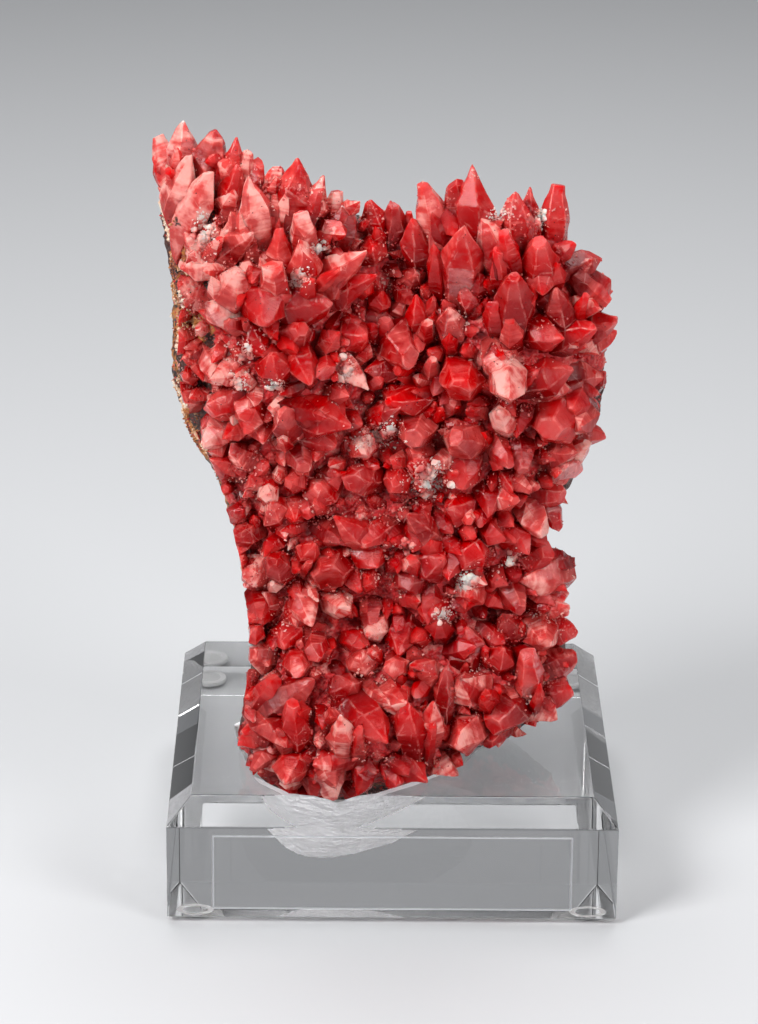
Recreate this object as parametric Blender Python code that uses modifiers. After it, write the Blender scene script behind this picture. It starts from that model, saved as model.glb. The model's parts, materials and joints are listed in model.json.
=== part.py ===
"""Rhodochrosite crystal specimen seated in a carved block of clear acrylic on four small feet.

Metres, +Z up. The object stands on Z = 0 and the centre of its bounding box is over the origin.
+X is to the viewer's right and the crystal face looks towards -Y. Lengths below are in millimetres.
"""

import math
import random

import bmesh
import bpy
from mathutils import Matrix, Vector, noise

MM = 0.001
CLEARANCE = 0.35

# Acrylic block: square, with bevelled top edges and an engraved border on its front face.
BLOCK_WIDTH = 108.0
BLOCK_HEIGHT = 29.6
BLOCK_BEVEL = 5.85
BORDER_HALF_WIDTH = 42.9
BORDER_LOW, BORDER_HIGH = 2.5, 21.5
BORDER_LINE_RADIUS = 0.35

# Stick-on bumper feet.
FOOT_PROFILE = [(0.0, 1.2), (4.75, 1.2), (4.75, 0.95), (4.3, 0.5), (3.5, 0.2), (2.4, 0.0), (0.0, 0.0)]
FOOT_SIDES = 24
FOOT_INSET = 6.6
BLOCK_BOTTOM = 1.2 + 0.3

# Carved seat: its rim on the block's top face, seen from above, and how it narrows with depth.
SEAT_CENTRE = (-18.0, -26.0)
SEAT_RIM = [
    (-39.5, -6), (-38, -20), (-34, -37), (-25, -47.2), (-13, -50), (-4, -47), (8, -38), (18, -28),
    (24, -16), (23, -2), (8, 8), (-12, 10), (-31, 5),
]
SEAT_DEPTH = 20.0
# Each ring of the bowl: its share of the depth and its share of the rim's reach.
SEAT_RINGS = [(0.0, 1.0), (0.3, 0.93), (0.65, 0.74), (0.9, 0.5), (1.0, 0.34)]
SEAT_LIP = 4.0
SEAT_REACH = 30.0

# Crust: the rock plate that the crystals grow from. Its outline, x and z, is as it shows against
# the crystal face from VIEWPOINT, so a point farther back than the face is listed higher than it is.
VIEWPOINT = (-11.4, -912.0, 427.0)
CRUST_OUTLINE = [
    (-53, 176), (-49, 181), (-42, 180.5), (-33, 176), (-24, 175), (-16, 171), (-7, 165.5), (2, 164),
    (9, 168), (16, 170), (26, 167), (35, 165.5), (39, 159), (45, 151), (48, 141), (48, 127),
    (45, 113), (41, 100), (36.5, 92), (36, 80), (39.5, 69), (41.5, 58), (40.5, 45), (33, 41),
    (24, 37), (12, 31), (0, 28), (-12, 25), (-21, 25), (-30, 29), (-35, 34), (-35.3, 44),
    (-33.8, 56), (-34.5, 70), (-37.5, 85), (-41, 99), (-49, 112), (-52.5, 121), (-53, 138),
    (-54, 152), (-55.5, 165),
]
CRUST_SINK = 5.0
CRUST_ROUNDING = 7.0
CRUST_VOXEL = 2.2
CRUST_FACES = 420
FACE_DEPTH = -36.8
FACE_LEAN = 0.06
FACE_BOW, FACE_BOW_CENTRE = 0.0040, -10.0
# Swellings (depth below 0) and hollows of the crystal face: x, z, depth, reach in x, reach in z.
LOBES = [
    (-38, 152, -7, 20, 22), (-27, 126, -7, 18, 16), (31, 138, -10, 20, 30), (2, 150, 7, 13, 30),
    (-9, 69, 6, 14, 8), (24, 68, 5, 10, 7), (-10, 42, -11, 26, 14), (28, 52, -3, 14, 14),
]
THICKNESS_TOP, THICKNESS_FOOT = 26.0, 44.0
OVERHANG_THINNING = 0.55
SLAB_DEPTH = 20.0
BACK_NARROWING = 0.30
BACK_CENTRE, BACK_LEVEL = -5.0, 90.0
BACK_ROUGHNESS = 3.2
FACE_ROUGHNESS = 0.9

# Crystals picked by hand: tip x, z, root x, z, how far the tip stands out, width, bluntness.
# Tips and roots are listed where they show against the crystal face, as the outline is.
CRYSTALS = [
    # upper left lobe: long blades fanning up and outwards
    (-48, 182, -53, 163, 7, 11, 0.0), (-43, 179, -51, 160, 9, 10, 0.1), (-50, 188.6, -50, 177, 1, 10, 0.2),
    (-56.3, 183.8, -53, 175, -2, 7.5, 0.4), (-57.9, 179.6, -50, 171, 1, 9, 0.2),
    (-42, 187, -45, 175, 1, 10, 0.3), (-37.2, 186, -40, 174, 1, 7, 0.1),
    (-34.8, 183.4, -36, 173, 0, 5.5, 0.5), (-32.2, 181.4, -34, 172, -2, 5.5, 0.5),
    (-36.5, 180, -40, 168, 5, 8, 0.1), (-35, 177, -32, 163, 6, 11.5, 0.1),
    (-28.5, 179, -29, 170, -2, 8, 0.5), (-23, 181.6, -25, 168, 0, 13, 0.1),
    (-17, 177.6, -21, 168, 1, 7.5, 0.2), (-25.5, 174, -27, 164, 5, 6, 0.0),
    (-22.5, 168, -22, 158, 8, 8, 0.6), (-27.5, 167, -27, 153, 7, 9, 0.1), (-22, 162, -22, 150, 9, 11, 0.3),
    (-33, 164.5, -41, 159, 8, 9, 0.2), (-52.5, 154, -42, 156, 4, 9.5, 0.3),
    (-37, 156, -38, 149, 9, 11.5, 0.2), (-29, 158, -29, 148, 12, 9, 0.5),
    (-31, 142.5, -31, 151, 12, 14, 0.1), (-14, 147, -26, 147, 11, 13, 0.1),
    (-6.5, 158.6, -20, 150, 8, 11, 0.1), (-3.5, 152, -17, 149, 9, 9.5, 0.1),
    (-45, 147, -38, 144, 9, 10, 0.2), (-53.5, 149, -46, 148, 3, 10, 0.3), (-50, 163, -45, 158, 6, 9, 0.2),
    (-56.8, 173, -49, 167, 1, 8, 0.2), (-16, 158, -17, 150, 4, 9, 0.2), (-10.5, 171.4, -14, 163, 2, 9, 0.1),
    (-6.9, 171.6, -5, 162, 1, 8, 0.0), (-14.6, 173.4, -15, 166, -2, 7, 0.5), (-1, 169, -1, 160, 2, 9, 0.4),
    # upper right lobe: stout upright teeth
    (17, 179.6, 18, 161, 2, 12, 0.05), (13, 176.8, 14, 163, 0, 7.5, 0.5), (5.5, 174, 10, 161, 2, 10, 0.35),
    (27, 174, 28, 160, 3, 11, 0.15), (30.8, 174.2, 30, 163, -2, 7, 0.2),
    (37.2, 173.4, 36, 159, 1, 9.5, 0.4), (17, 165, 16, 147, 13, 14, 0.15), (33, 161, 33, 153, 9, 12, 0.4),
    (34, 149, 34, 156, 8, 10, 0.1), (27, 154, 27, 144, 10, 12, 0.3), (19, 168, 24, 157, 5, 11.5, 0.1),
    (3.5, 166.5, 5, 155, 5, 9, 0.1), (7, 166, 14, 155, 4, 10, 0.1), (4.5, 147.5, 5, 137, 7, 9.5, 0.1),
    (9, 148, 7, 140, 5, 7, 0.2), (49, 155.6, 41, 154, 1, 9, 0.1), (51, 143, 44, 150, 3, 11.5, 0.2),
    (37, 151, 38, 142, 8, 10, 0.1), (52.8, 135.5, 45, 136, 2, 8.5, 0.3), (51.5, 147, 43, 145, 3, 9, 0.2),
    (50.2, 126, 42, 128, 3, 9, 0.2), (23, 160, 25, 151, 8, 8, 0.3),
    # middle band
    (3.5, 131, -1, 138, 9, 13, 0.3), (5.3, 135, 5, 139, 7, 4.5, 0.8), (8.5, 132.5, 8, 128, 6, 5.5, 0.4),
    (-8, 130.5, 1, 130, 6, 8, 0.2), (27, 127, 26, 131, 12, 12, 0.55), (42.5, 130, 31, 129, 9, 12, 0.1),
    (15, 126, 15, 130, 10, 14, 0.45), (-2, 122.5, 7, 123, 8, 10, 0.25), (14, 114, 18, 113, 10, 12, 0.4),
    (36, 115, 38, 120, 9, 16.5, 0.4), (24, 121.5, 26, 118, 8, 9, 0.2), (4, 113, 6, 117, 9, 11.5, 0.5),
    (16.8, 100, 15, 109, 8, 12, 0.15), (22.6, 92.6, 22, 102, 7, 9, 0.05), (-2, 101.5, 2, 105, 7, 10, 0.3),
    (12, 96, 17, 96, 7, 10, 0.2), (2, 95.5, 10, 89, 7, 10, 0.1), (41.8, 97, 33, 98, 4, 9, 0.3),
    (39.4, 87.6, 36, 96, 4, 8, 0.3), (50.6, 110.4, 43, 113, 3, 8, 0.4), (50, 118.2, 41, 120, 4, 11.5, 0.2),
    (46, 103, 39, 107, 5, 13, 0.45), (-19.8, 128.3, -24, 138, 9, 11, 0.2), (-17, 131, -17, 134, 8, 7, 0.7),
    (-6, 125.3, -15, 135, 9, 8, 0.0), (-9.6, 117, -23, 122, 9, 13, 0.05),
    (-11.8, 118.6, -15, 125, 8, 6, 0.0), (-46, 119.3, -35, 125, 6, 10, 0.5),
    (-29.5, 137, -28, 131, 9, 10, 0.2), (-26, 122, -25, 118, 9, 10, 0.4), (-31, 113, -32, 119, 8, 9, 0.1),
    (-12.8, 111.6, -21, 117, 7, 9.5, 0.1), (-22, 107, -23, 112, 8, 10, 0.4),
    (-7, 111.5, -9, 113, 7, 9, 0.6), (-13, 103.5, -5, 104, 6, 10, 0.4), (-23.6, 93, -24, 97, 7, 7.5, 0.1),
    (-15, 95, -5, 87, 7, 10, 0.05), (-40, 112, -34, 108, 5, 10, 0.2), (-45.5, 111, -41, 117, 3, 10, 0.3),
    (-36, 101, -32, 105, 5, 10, 0.3), (-30, 99, -27, 94, 6, 9, 0.2), (-41, 128, -44, 133, 5, 9, 0.3),
    # waist and lower ledge
    (-16, 79, -15, 82, 8, 13, 0.5), (-4, 80.5, -7, 86, 7, 10, 0.1), (-6, 76.5, -6, 79, 6, 7.5, 0.4),
    (3, 75, 4, 79, 7, 10, 0.3), (38.6, 84.8, 32, 80, 4, 8.5, 0.4), (30, 76, 38, 77, 5, 11.5, 0.2),
    (41.6, 70, 37, 73, 2, 8, 0.5), (45, 62, 38, 63, 3, 10.5, 0.3), (45, 56, 37, 54, 3, 10, 0.3),
    (42.5, 66.5, 36, 69, 4, 8, 0.3), (37, 60, 35, 64, 7, 11.5, 0.3), (-6.8, 63.5, -3, 66, 6, 9, 0.2),
    (-27, 61, -25, 65, 6, 11.5, 0.2), (-19, 60, -18, 63, 7, 8, 0.6), (-23, 56, -23, 60, 7, 9, 0.3),
    (-1, 58, 2, 57, 7, 7.5, 0.5), (-18.3, 55.8, -30, 47, 7, 11, 0.05), (-24.3, 49.8, -23, 41, 8, 9, 0.4),
    (-24.8, 38, -32, 46, 7, 10, 0.1), (-12.5, 48.5, -12, 41, 9, 9, 0.2), (-1, 41, -10, 50, 9, 13, 0.1),
    (-27.5, 30, -31, 38, 5, 10, 0.2), (-37, 41, -31, 42, 5, 9, 0.3), (-35.5, 33, -29, 36, 5, 9, 0.2),
    (-35.8, 60, -30, 59, 4, 9, 0.3), (-8.5, 28.5, -7, 35, 7, 9, 0.4), (-20, 22.8, -17, 33, 7, 12, 0.15),
    (3, 50.8, 5, 40, 9, 11.5, 0.1), (9.6, 50, 8, 40, 8, 10, 0.1), (12.9, 58.2, 12, 47, 7, 7.5, 0.05),
    (4, 58, 9, 56, 6, 10, 0.1), (16, 54, 20, 50, 8, 12, 0.2), (10.6, 43.6, 6, 46, 9, 7, 0.1),
    (13, 38, 18, 42, 6, 13, 0.6), (24, 42, 29, 47, 6, 12, 0.5), (32.5, 60.5, 33, 47, 8, 9, 0.3),
    (17, 66, 18, 60, 4, 11.5, 0.2), (26, 67, 29, 63, 6, 9, 0.2), (44, 47, 38, 48, 4, 12, 0.4),
    (23, 36.5, 26, 41, 4, 8, 0.4), (-37.6, 80.5, -32, 80, 3, 10, 0.4), (-35.8, 70.5, -30, 72, 3, 9, 0.3),
    (-29, 84, -27, 80, 7, 10, 0.3), (-19, 88, -21, 84, 7, 8, 0.2), (12, 84, 8, 82, 7, 11.5, 0.2),
    (20, 86, 17, 84, 7, 11.5, 0.3), (29, 86, 27, 90, 6, 10, 0.2),
]
FILL_COUNT = 60
FILL_SPACING = 7.8
FILL_MARGIN = 3.0
FILL_TILT = math.radians(32)
FILL_LENGTH = (7.0, 11.5)
FILL_WIDTH = (8.0, 11.5)
FILL_SEED = 11
ROOT_SINK = 4.5
BLUNT_LEAST = 0.22
BELLY = 0.52
BELLY_ZIGZAG = 0.09
ROOT_TAPER = 0.80
NARROW_CORNER = 0.84

MATERIALS = {
    "rhodochrosite": ((0.58, 0.05, 0.06, 1.0), 0.28, 0.0),
    "acrylic": ((0.90, 0.93, 0.95, 1.0), 0.03, 0.95),
    "bumper": ((0.88, 0.90, 0.90, 1.0), 0.12, 0.9),
}


def make_material(name):
    """A Principled material: colour, roughness and how much light it lets through."""
    colour, roughness, transmission = MATERIALS[name]
    material = bpy.data.materials.new(name)
    material.use_nodes = True
    shader = material.node_tree.nodes["Principled BSDF"]
    shader.inputs["Base Color"].default_value = colour
    shader.inputs["Roughness"].default_value = roughness
    shader.inputs["Metallic"].default_value = 0.0
    shader.inputs["Transmission Weight"].default_value = transmission
    return material


def add_object(name, bm, collection, material=None):
    """Turns a bmesh in millimetres into an object, in metres, of that collection."""
    bmesh.ops.scale(bm, vec=(MM, MM, MM), verts=bm.verts)
    bmesh.ops.recalc_face_normals(bm, faces=bm.faces)
    mesh = bpy.data.meshes.new(name)
    bm.to_mesh(mesh)
    bm.free()
    thing = bpy.data.objects.new(name, mesh)
    collection.objects.link(thing)
    if material:
        thing.data.materials.append(material)
    else:
        thing.hide_render = True
        thing.display_type = "WIRE"
    return thing


def add_boolean(target, operation, cutter, solver="EXACT"):
    """Cuts the target with an object, or joins it with a whole collection."""
    modifier = target.modifiers.new(operation.title(), "BOOLEAN")
    modifier.operation = operation
    modifier.solver = solver
    if isinstance(cutter, bpy.types.Collection):
        modifier.operand_type = "COLLECTION"
        modifier.collection = cutter
    else:
        modifier.object = cutter
    return modifier


def apply_modifiers(thing):
    """Keeps what the object's modifiers make of it as its own mesh."""
    graph = bpy.context.evaluated_depsgraph_get()
    mesh = bpy.data.meshes.new_from_object(thing.evaluated_get(graph))
    thing.modifiers.clear()
    thing.data = mesh


def keep_main_body(thing):
    """Drops any sealed pocket between crystal roots, so that only the outer skin is left."""
    bm = bmesh.new()
    bm.from_mesh(thing.data)
    unseen = set(bm.faces)
    bodies = []
    while unseen:
        body = {unseen.pop()}
        edge_of_body = list(body)
        while edge_of_body:
            face = edge_of_body.pop()
            beside = {other for edge in face.edges for other in edge.link_faces} & unseen
            unseen -= beside
            body |= beside
            edge_of_body.extend(beside)
        bodies.append(body)
    main_body = max(bodies, key=len)
    spare = [face for body in bodies if body is not main_body for face in body]
    bmesh.ops.delete(bm, geom=spare, context="FACES")
    bm.to_mesh(thing.data)
    bm.free()


def closed_curve(name, points, collection):
    """A curve object that runs straight from each point, in millimetres, to the next and back."""
    curve = bpy.data.curves.new(name, "CURVE")
    line = curve.splines.new("POLY")
    line.points.add(len(points) - 1)
    line.use_cyclic_u = True
    for point, place_mm in zip(line.points, points):
        point.co = (*(Vector(place_mm) * MM), 1.0)
    drawn = bpy.data.objects.new(name, curve)
    collection.objects.link(drawn)
    return drawn


def mesh_from_curve(drawn):
    """The mesh that a curve object makes, welded, as it stands in the scene. Removes the curve."""
    bpy.context.view_layer.update()
    graph = bpy.context.evaluated_depsgraph_get()
    mesh = bpy.data.meshes.new_from_object(drawn.evaluated_get(graph))
    mesh.transform(drawn.matrix_world)
    bm = bmesh.new()
    bm.from_mesh(mesh)
    bmesh.ops.remove_doubles(bm, verts=bm.verts, dist=0.00001)
    bmesh.ops.scale(bm, vec=(1.0 / MM, 1.0 / MM, 1.0 / MM), verts=bm.verts)
    bpy.data.objects.remove(drawn)
    return bm


def face_depth(x, z):
    """Y of the crystal face where it shows at (x, z)."""
    depth = FACE_DEPTH + FACE_LEAN * z + FACE_BOW * (x - FACE_BOW_CENTRE) ** 2
    for lobe_x, lobe_z, amount, reach_x, reach_z in LOBES:
        depth += amount * math.exp(-(((x - lobe_x) / reach_x) ** 2) - ((z - lobe_z) / reach_z) ** 2)
    return depth


def place(x, z, behind):
    """World place, in millimetres, of a point that shows at (x, z) and lies behind the face."""
    spot = Vector((x, face_depth(x, z), z))
    sight = spot - Vector(VIEWPOINT)
    spot += sight * (behind / sight.y)
    spot.z += BLOCK_BOTTOM
    return spot


def face_normal(x, z):
    """Which way the crystal face looks at a place."""
    step = 2.0
    slope_x = (face_depth(x + step, z) - face_depth(x - step, z)) / (2.0 * step)
    slope_z = (face_depth(x, z + step) - face_depth(x, z - step)) / (2.0 * step)
    return Vector((slope_x, -1.0, slope_z)).normalized()


def thickness(x, z):
    """How far the rock reaches back behind the crystal face: thin at the top and at the overhang."""
    share = min(1.0, max(0.0, (180.0 - z) / 90.0))
    full = THICKNESS_TOP + (THICKNESS_FOOT - THICKNESS_TOP) * share
    overhang = math.exp(-(((x - 38.0) / 18.0) ** 2) - ((z - 46.0) / 18.0) ** 2)
    return full * (1.0 - OVERHANG_THINNING * overhang)


def outline_distance(x, z):
    """Distance from a place to the crust's outline, and whether the place is within it."""
    nearest = 1000.0
    inside = False
    spot = Vector((x, z))
    for index, corner in enumerate(CRUST_OUTLINE):
        start, end = Vector(CRUST_OUTLINE[index - 1]), Vector(corner)
        along = end - start
        share = max(0.0, min(1.0, (spot - start).dot(along) / along.length_squared))
        nearest = min(nearest, (spot - start - along * share).length)
        if (start.y > z) != (end.y > z) and x < start.x + along.x * (z - start.y) / along.y:
            inside = not inside
    return nearest, inside


def crust(collection, material):
    """The rock plate behind the crystals: a slab of the outline, bent to the face and weathered."""
    drawn = closed_curve("slab", [(x, z, 0.0) for x, z in CRUST_OUTLINE], collection)
    drawn.data.dimensions = "2D"
    drawn.data.fill_mode = "BOTH"
    drawn.data.extrude = SLAB_DEPTH / 2.0 * MM
    drawn.rotation_euler.x = math.radians(90.0)
    rock = add_object("specimen", mesh_from_curve(drawn), collection, material)
    remesh = rock.modifiers.new("Remesh", "REMESH")
    remesh.mode = "VOXEL"
    remesh.voxel_size = CRUST_VOXEL * MM
    apply_modifiers(rock)
    for vertex in rock.data.vertices:
        vertex.co = shaped_rock(vertex.co / MM) * MM
    decimate = rock.modifiers.new("Decimate", "DECIMATE")
    decimate.ratio = CRUST_FACES / (2.0 * len(rock.data.polygons))
    apply_modifiers(rock)
    return rock


def shaped_rock(spot):
    """Where a point of the flat slab ends up on the rock."""
    x, z = spot.x, spot.z
    share = min(1.0, max(0.0, spot.y / SLAB_DEPTH + 0.5))
    edge, _ = outline_distance(x, z)
    rounding = CRUST_ROUNDING * max(0.0, 1.0 - edge / CRUST_ROUNDING) ** 2
    behind = CRUST_SINK + rounding * (1.0 - share) + (thickness(x, z) - rounding) * share
    spot = place(x, z, behind)
    narrowing = BACK_NARROWING * share * share
    spot.x += (BACK_CENTRE - spot.x) * narrowing
    spot.z += min(0.0, BACK_LEVEL - spot.z) * narrowing * 0.5
    roughness = FACE_ROUGHNESS + (BACK_ROUGHNESS - FACE_ROUGHNESS) * share
    coarse = noise.noise_vector(spot * 0.075) * 1.6
    fine = noise.noise_vector(spot * 0.19)
    return spot + (coarse + fine) * roughness


def crystal(name, root, tip, width, blunt, roll, collection):
    """A six-sided tooth: a tapering root, a zigzag belly and a point that may be cut off."""
    axis = tip - root
    length = axis.length + ROOT_SINK
    belly = BELLY * length
    bm = bmesh.new()
    bmesh.ops.create_cone(
        bm, cap_ends=True, segments=6, radius1=width / 2.0, radius2=width / 2.0 * blunt, depth=length - belly
    )
    bmesh.ops.translate(bm, verts=bm.verts, vec=(0.0, 0.0, belly + (length - belly) / 2.0))
    base = min(bm.faces, key=lambda face: face.calc_center_median().z)
    sides = bmesh.ops.extrude_face_region(bm, geom=[base])
    bmesh.ops.delete(bm, geom=[base], context="FACES_ONLY")
    root_ring = [item for item in sides["geom"] if isinstance(item, bmesh.types.BMVert)]
    bmesh.ops.translate(bm, verts=root_ring, vec=(0.0, 0.0, -belly))
    bmesh.ops.scale(bm, verts=root_ring, vec=(ROOT_TAPER, ROOT_TAPER, 1.0))
    for vertex in bm.verts:
        corner = round(math.atan2(vertex.co.y, vertex.co.x) / math.radians(60.0))
        narrow = corner % 2 == 0
        if narrow:
            vertex.co.xy *= NARROW_CORNER
        if abs(vertex.co.z - belly) < 0.01:
            vertex.co.z += length * BELLY_ZIGZAG * (1.0 if narrow else -1.0)
    bmesh.ops.remove_doubles(bm, verts=bm.verts, dist=0.0001)
    turn = axis.to_track_quat("Z", "Y").to_matrix().to_4x4() @ Matrix.Rotation(roll, 4, "Z")
    start = root - axis.normalized() * ROOT_SINK
    bmesh.ops.transform(bm, matrix=Matrix.Translation(start) @ turn, verts=bm.verts)
    return add_object(name, bm, collection)


def chosen_crystals(dice):
    """Root, tip, width, bluntness and roll of each crystal picked by hand."""
    found = []
    for tip_x, tip_z, root_x, root_z, height, width, blunt in CRYSTALS:
        tip = place(tip_x, tip_z, CRUST_SINK - height)
        root = place(root_x, root_z, CRUST_SINK + 1.0)
        found.append((root, tip, width, blunt if blunt > BLUNT_LEAST else 0.0, dice.uniform(0.0, 6.28)))
    return found


def fill_crystals(dice, taken):
    """The same for the crystals that cover the rest of the face, clear of those already there."""
    spots = [(root + tip) / 2.0 for root, tip, *_ in taken]
    found = []
    for _ in range(6000):
        x, z = dice.uniform(-57.0, 52.0), dice.uniform(24.0, 184.0)
        edge, inside = outline_distance(x, z)
        spot = place(x, z, CRUST_SINK - 4.0)
        clear = all((spot - other).length > FILL_SPACING for other in spots)
        if not inside or edge < FILL_MARGIN or not clear:
            continue
        spots.append(spot)
        outwards = Vector((x - FACE_BOW_CENTRE, 0.0, z - 100.0)) * 0.006
        tilt = Vector((dice.gauss(0.0, 1.0), 0.0, dice.gauss(0.0, 1.0))) * math.tan(FILL_TILT) * 0.7
        direction = (face_normal(x, z) + outwards + tilt).normalized()
        root = place(x, z, CRUST_SINK + 1.0)
        tip = root + direction * dice.uniform(*FILL_LENGTH)
        blunt = dice.choice((0.0, 0.0, 0.0, 0.35))
        found.append((root, tip, dice.uniform(*FILL_WIDTH), blunt, dice.uniform(0.0, 6.28)))
        if len(found) == FILL_COUNT:
            break
    return found


def block(name, grown, collection, material=None):
    """The acrylic block with bevelled top edges, or the same grown all round by a clearance."""
    low, high = BLOCK_BOTTOM - grown, BLOCK_BOTTOM + BLOCK_HEIGHT + grown
    width = BLOCK_WIDTH + 2.0 * grown
    bm = bmesh.new()
    bmesh.ops.create_cube(bm, size=1.0)
    bmesh.ops.scale(bm, vec=(width, width, high - low), verts=bm.verts)
    bmesh.ops.translate(bm, vec=(0.0, 0.0, (low + high) / 2.0), verts=bm.verts)
    top = [edge for edge in bm.edges if all(vertex.co.z > high - 1.0 for vertex in edge.verts)]
    bmesh.ops.bevel(bm, geom=top, offset=BLOCK_BEVEL, segments=1, affect="EDGES", profile=0.5, material=-1)
    return add_object(name, bm, collection, material)


def seat(name, shrunk, collection):
    """The bowl that is carved into the block, or the same drawn in by a clearance."""
    top = BLOCK_BOTTOM + BLOCK_HEIGHT
    bm = bmesh.new()
    ring = bm.faces.new([bm.verts.new((x, y, top + SEAT_LIP)) for x, y in SEAT_RIM])
    centre = Vector((*SEAT_CENTRE, 0.0))
    reach = 1.0
    fit = 1.0 - 2.0 * shrunk / SEAT_REACH
    level = top + SEAT_LIP
    bmesh.ops.scale(bm, vec=(fit, fit, 1.0), space=Matrix.Translation(-centre), verts=bm.verts)
    for depth, share in SEAT_RINGS:
        sides = bmesh.ops.extrude_face_region(bm, geom=[ring])
        lower = [item for item in sides["geom"] if isinstance(item, bmesh.types.BMVert)]
        if level < top + SEAT_LIP:
            bmesh.ops.delete(bm, geom=[ring], context="FACES_ONLY")
        ring = next(item for item in sides["geom"] if isinstance(item, bmesh.types.BMFace))
        sink = top + shrunk - SEAT_DEPTH * depth - level
        bmesh.ops.translate(bm, vec=(0.0, 0.0, sink), verts=lower)
        level += sink
        narrow = share / reach
        reach = share
        bmesh.ops.scale(bm, vec=(narrow, narrow, 1.0), space=Matrix.Translation(-centre), verts=lower)
    bmesh.ops.triangulate(bm, faces=bm.faces)
    return add_object(name, bm, collection)


def border(collection):
    """The engraved line round the front face: a thin square-cornered ring sunk half into it."""
    low, high = BLOCK_BOTTOM + BORDER_LOW, BLOCK_BOTTOM + BORDER_HIGH
    reach, front = BORDER_HALF_WIDTH, -BLOCK_WIDTH / 2.0
    corners = [(-reach, front, low), (reach, front, low), (reach, front, high), (-reach, front, high)]
    drawn = closed_curve("line", corners, collection)
    drawn.data.dimensions = "3D"
    drawn.data.bevel_depth = BORDER_LINE_RADIUS * MM
    drawn.data.bevel_resolution = 1
    return add_object("border_line", mesh_from_curve(drawn), collection)


def foot(name, side_x, side_y, collection, material):
    """A clear domed bumper with a flat end to stand on: its profile turned round Z."""
    mesh = bpy.data.meshes.new(name)
    points = [(radius * MM, 0.0, height * MM) for radius, height in FOOT_PROFILE]
    mesh.from_pydata(points, [(index, index + 1) for index in range(len(points) - 1)], [])
    thing = bpy.data.objects.new(name, mesh)
    thing.data.materials.append(material)
    collection.objects.link(thing)
    screw = thing.modifiers.new("Screw", "SCREW")
    screw.steps = screw.render_steps = FOOT_SIDES
    screw.use_merge_vertices = True
    screw.merge_threshold = 0.00001
    screw.use_normal_calculate = True
    screw.use_smooth_shade = False
    reach = (BLOCK_WIDTH / 2.0 - FOOT_INSET) * MM
    thing.location = (side_x * reach, side_y * reach, 0.0)
    return thing


def specimen(collection, guides, material):
    """The rock with its crystals as one piece, trimmed to fit the carved seat."""
    rock = crust(collection, material)
    dice = random.Random(FILL_SEED)
    grown = chosen_crystals(dice)
    grown += fill_crystals(dice, grown)
    teeth = bpy.data.collections.new("crystals")
    guides.children.link(teeth)
    for number, (root, tip, width, blunt, roll) in enumerate(grown):
        crystal(f"crystal_{number}", root, tip, width, blunt, roll, teeth)
    add_boolean(rock, "UNION", teeth, "MANIFOLD")
    keep_out = block("keep_out", CLEARANCE, guides)
    add_boolean(keep_out, "DIFFERENCE", seat("keep_out_seat", CLEARANCE, guides))
    add_boolean(rock, "DIFFERENCE", keep_out, "MANIFOLD")
    return rock


def acrylic_base(collection, guides, material):
    """The block with its carved seat and its engraved border."""
    base = block("acrylic_base", 0.0, collection, material)
    add_boolean(base, "DIFFERENCE", seat("seat", 0.0, guides))
    add_boolean(base, "DIFFERENCE", border(guides))
    return base


def centre_on_origin(things, guides):
    """Moves every piece and guide sideways, so that the middle of the bounding box is over the origin."""
    corners = [thing.matrix_world @ Vector(corner) for thing in things for corner in thing.bound_box]
    middle_x = (min(corner.x for corner in corners) + max(corner.x for corner in corners)) / 2.0
    middle_y = (min(corner.y for corner in corners) + max(corner.y for corner in corners)) / 2.0
    for thing in things + list(guides.all_objects):
        thing.location -= Vector((middle_x, middle_y, 0.0))


def main():
    """Builds every piece in one collection and its guides in another."""
    for thing in list(bpy.data.objects):
        bpy.data.objects.remove(thing)
    scene = bpy.context.scene
    pieces = bpy.data.collections.new("rhodochrosite_specimen")
    guides = bpy.data.collections.new("guides")
    scene.collection.children.link(pieces)
    scene.collection.children.link(guides)
    stone = make_material("rhodochrosite")
    acrylic = make_material("acrylic")
    bumper = make_material("bumper")
    things = [specimen(pieces, guides, stone), acrylic_base(pieces, guides, acrylic)]
    for depth, side_y in (("front", -1), ("back", 1)):
        for hand, side_x in (("left", -1), ("right", 1)):
            things.append(foot(f"foot_{depth}_{hand}", side_x, side_y, pieces, bumper))
    apply_modifiers(things[0])
    keep_main_body(things[0])
    centre_on_origin(things, guides)


main()
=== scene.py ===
"""Looks of a rhodochrosite crystal specimen in its carved, clear acrylic display base.

Lengths in the dataclasses are in millimetres, in the block's own frame: its middle is over X = Y = 0
and the surface it stands on is Z = 0. Finished meshes are in metres, moved to where the CAD has them.
"""

from __future__ import annotations

import json
import logging
import math
import random
from dataclasses import dataclass, field
from enum import Enum

import bmesh
import bpy
from mathutils import Matrix, Vector, bvhtree, noise

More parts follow.
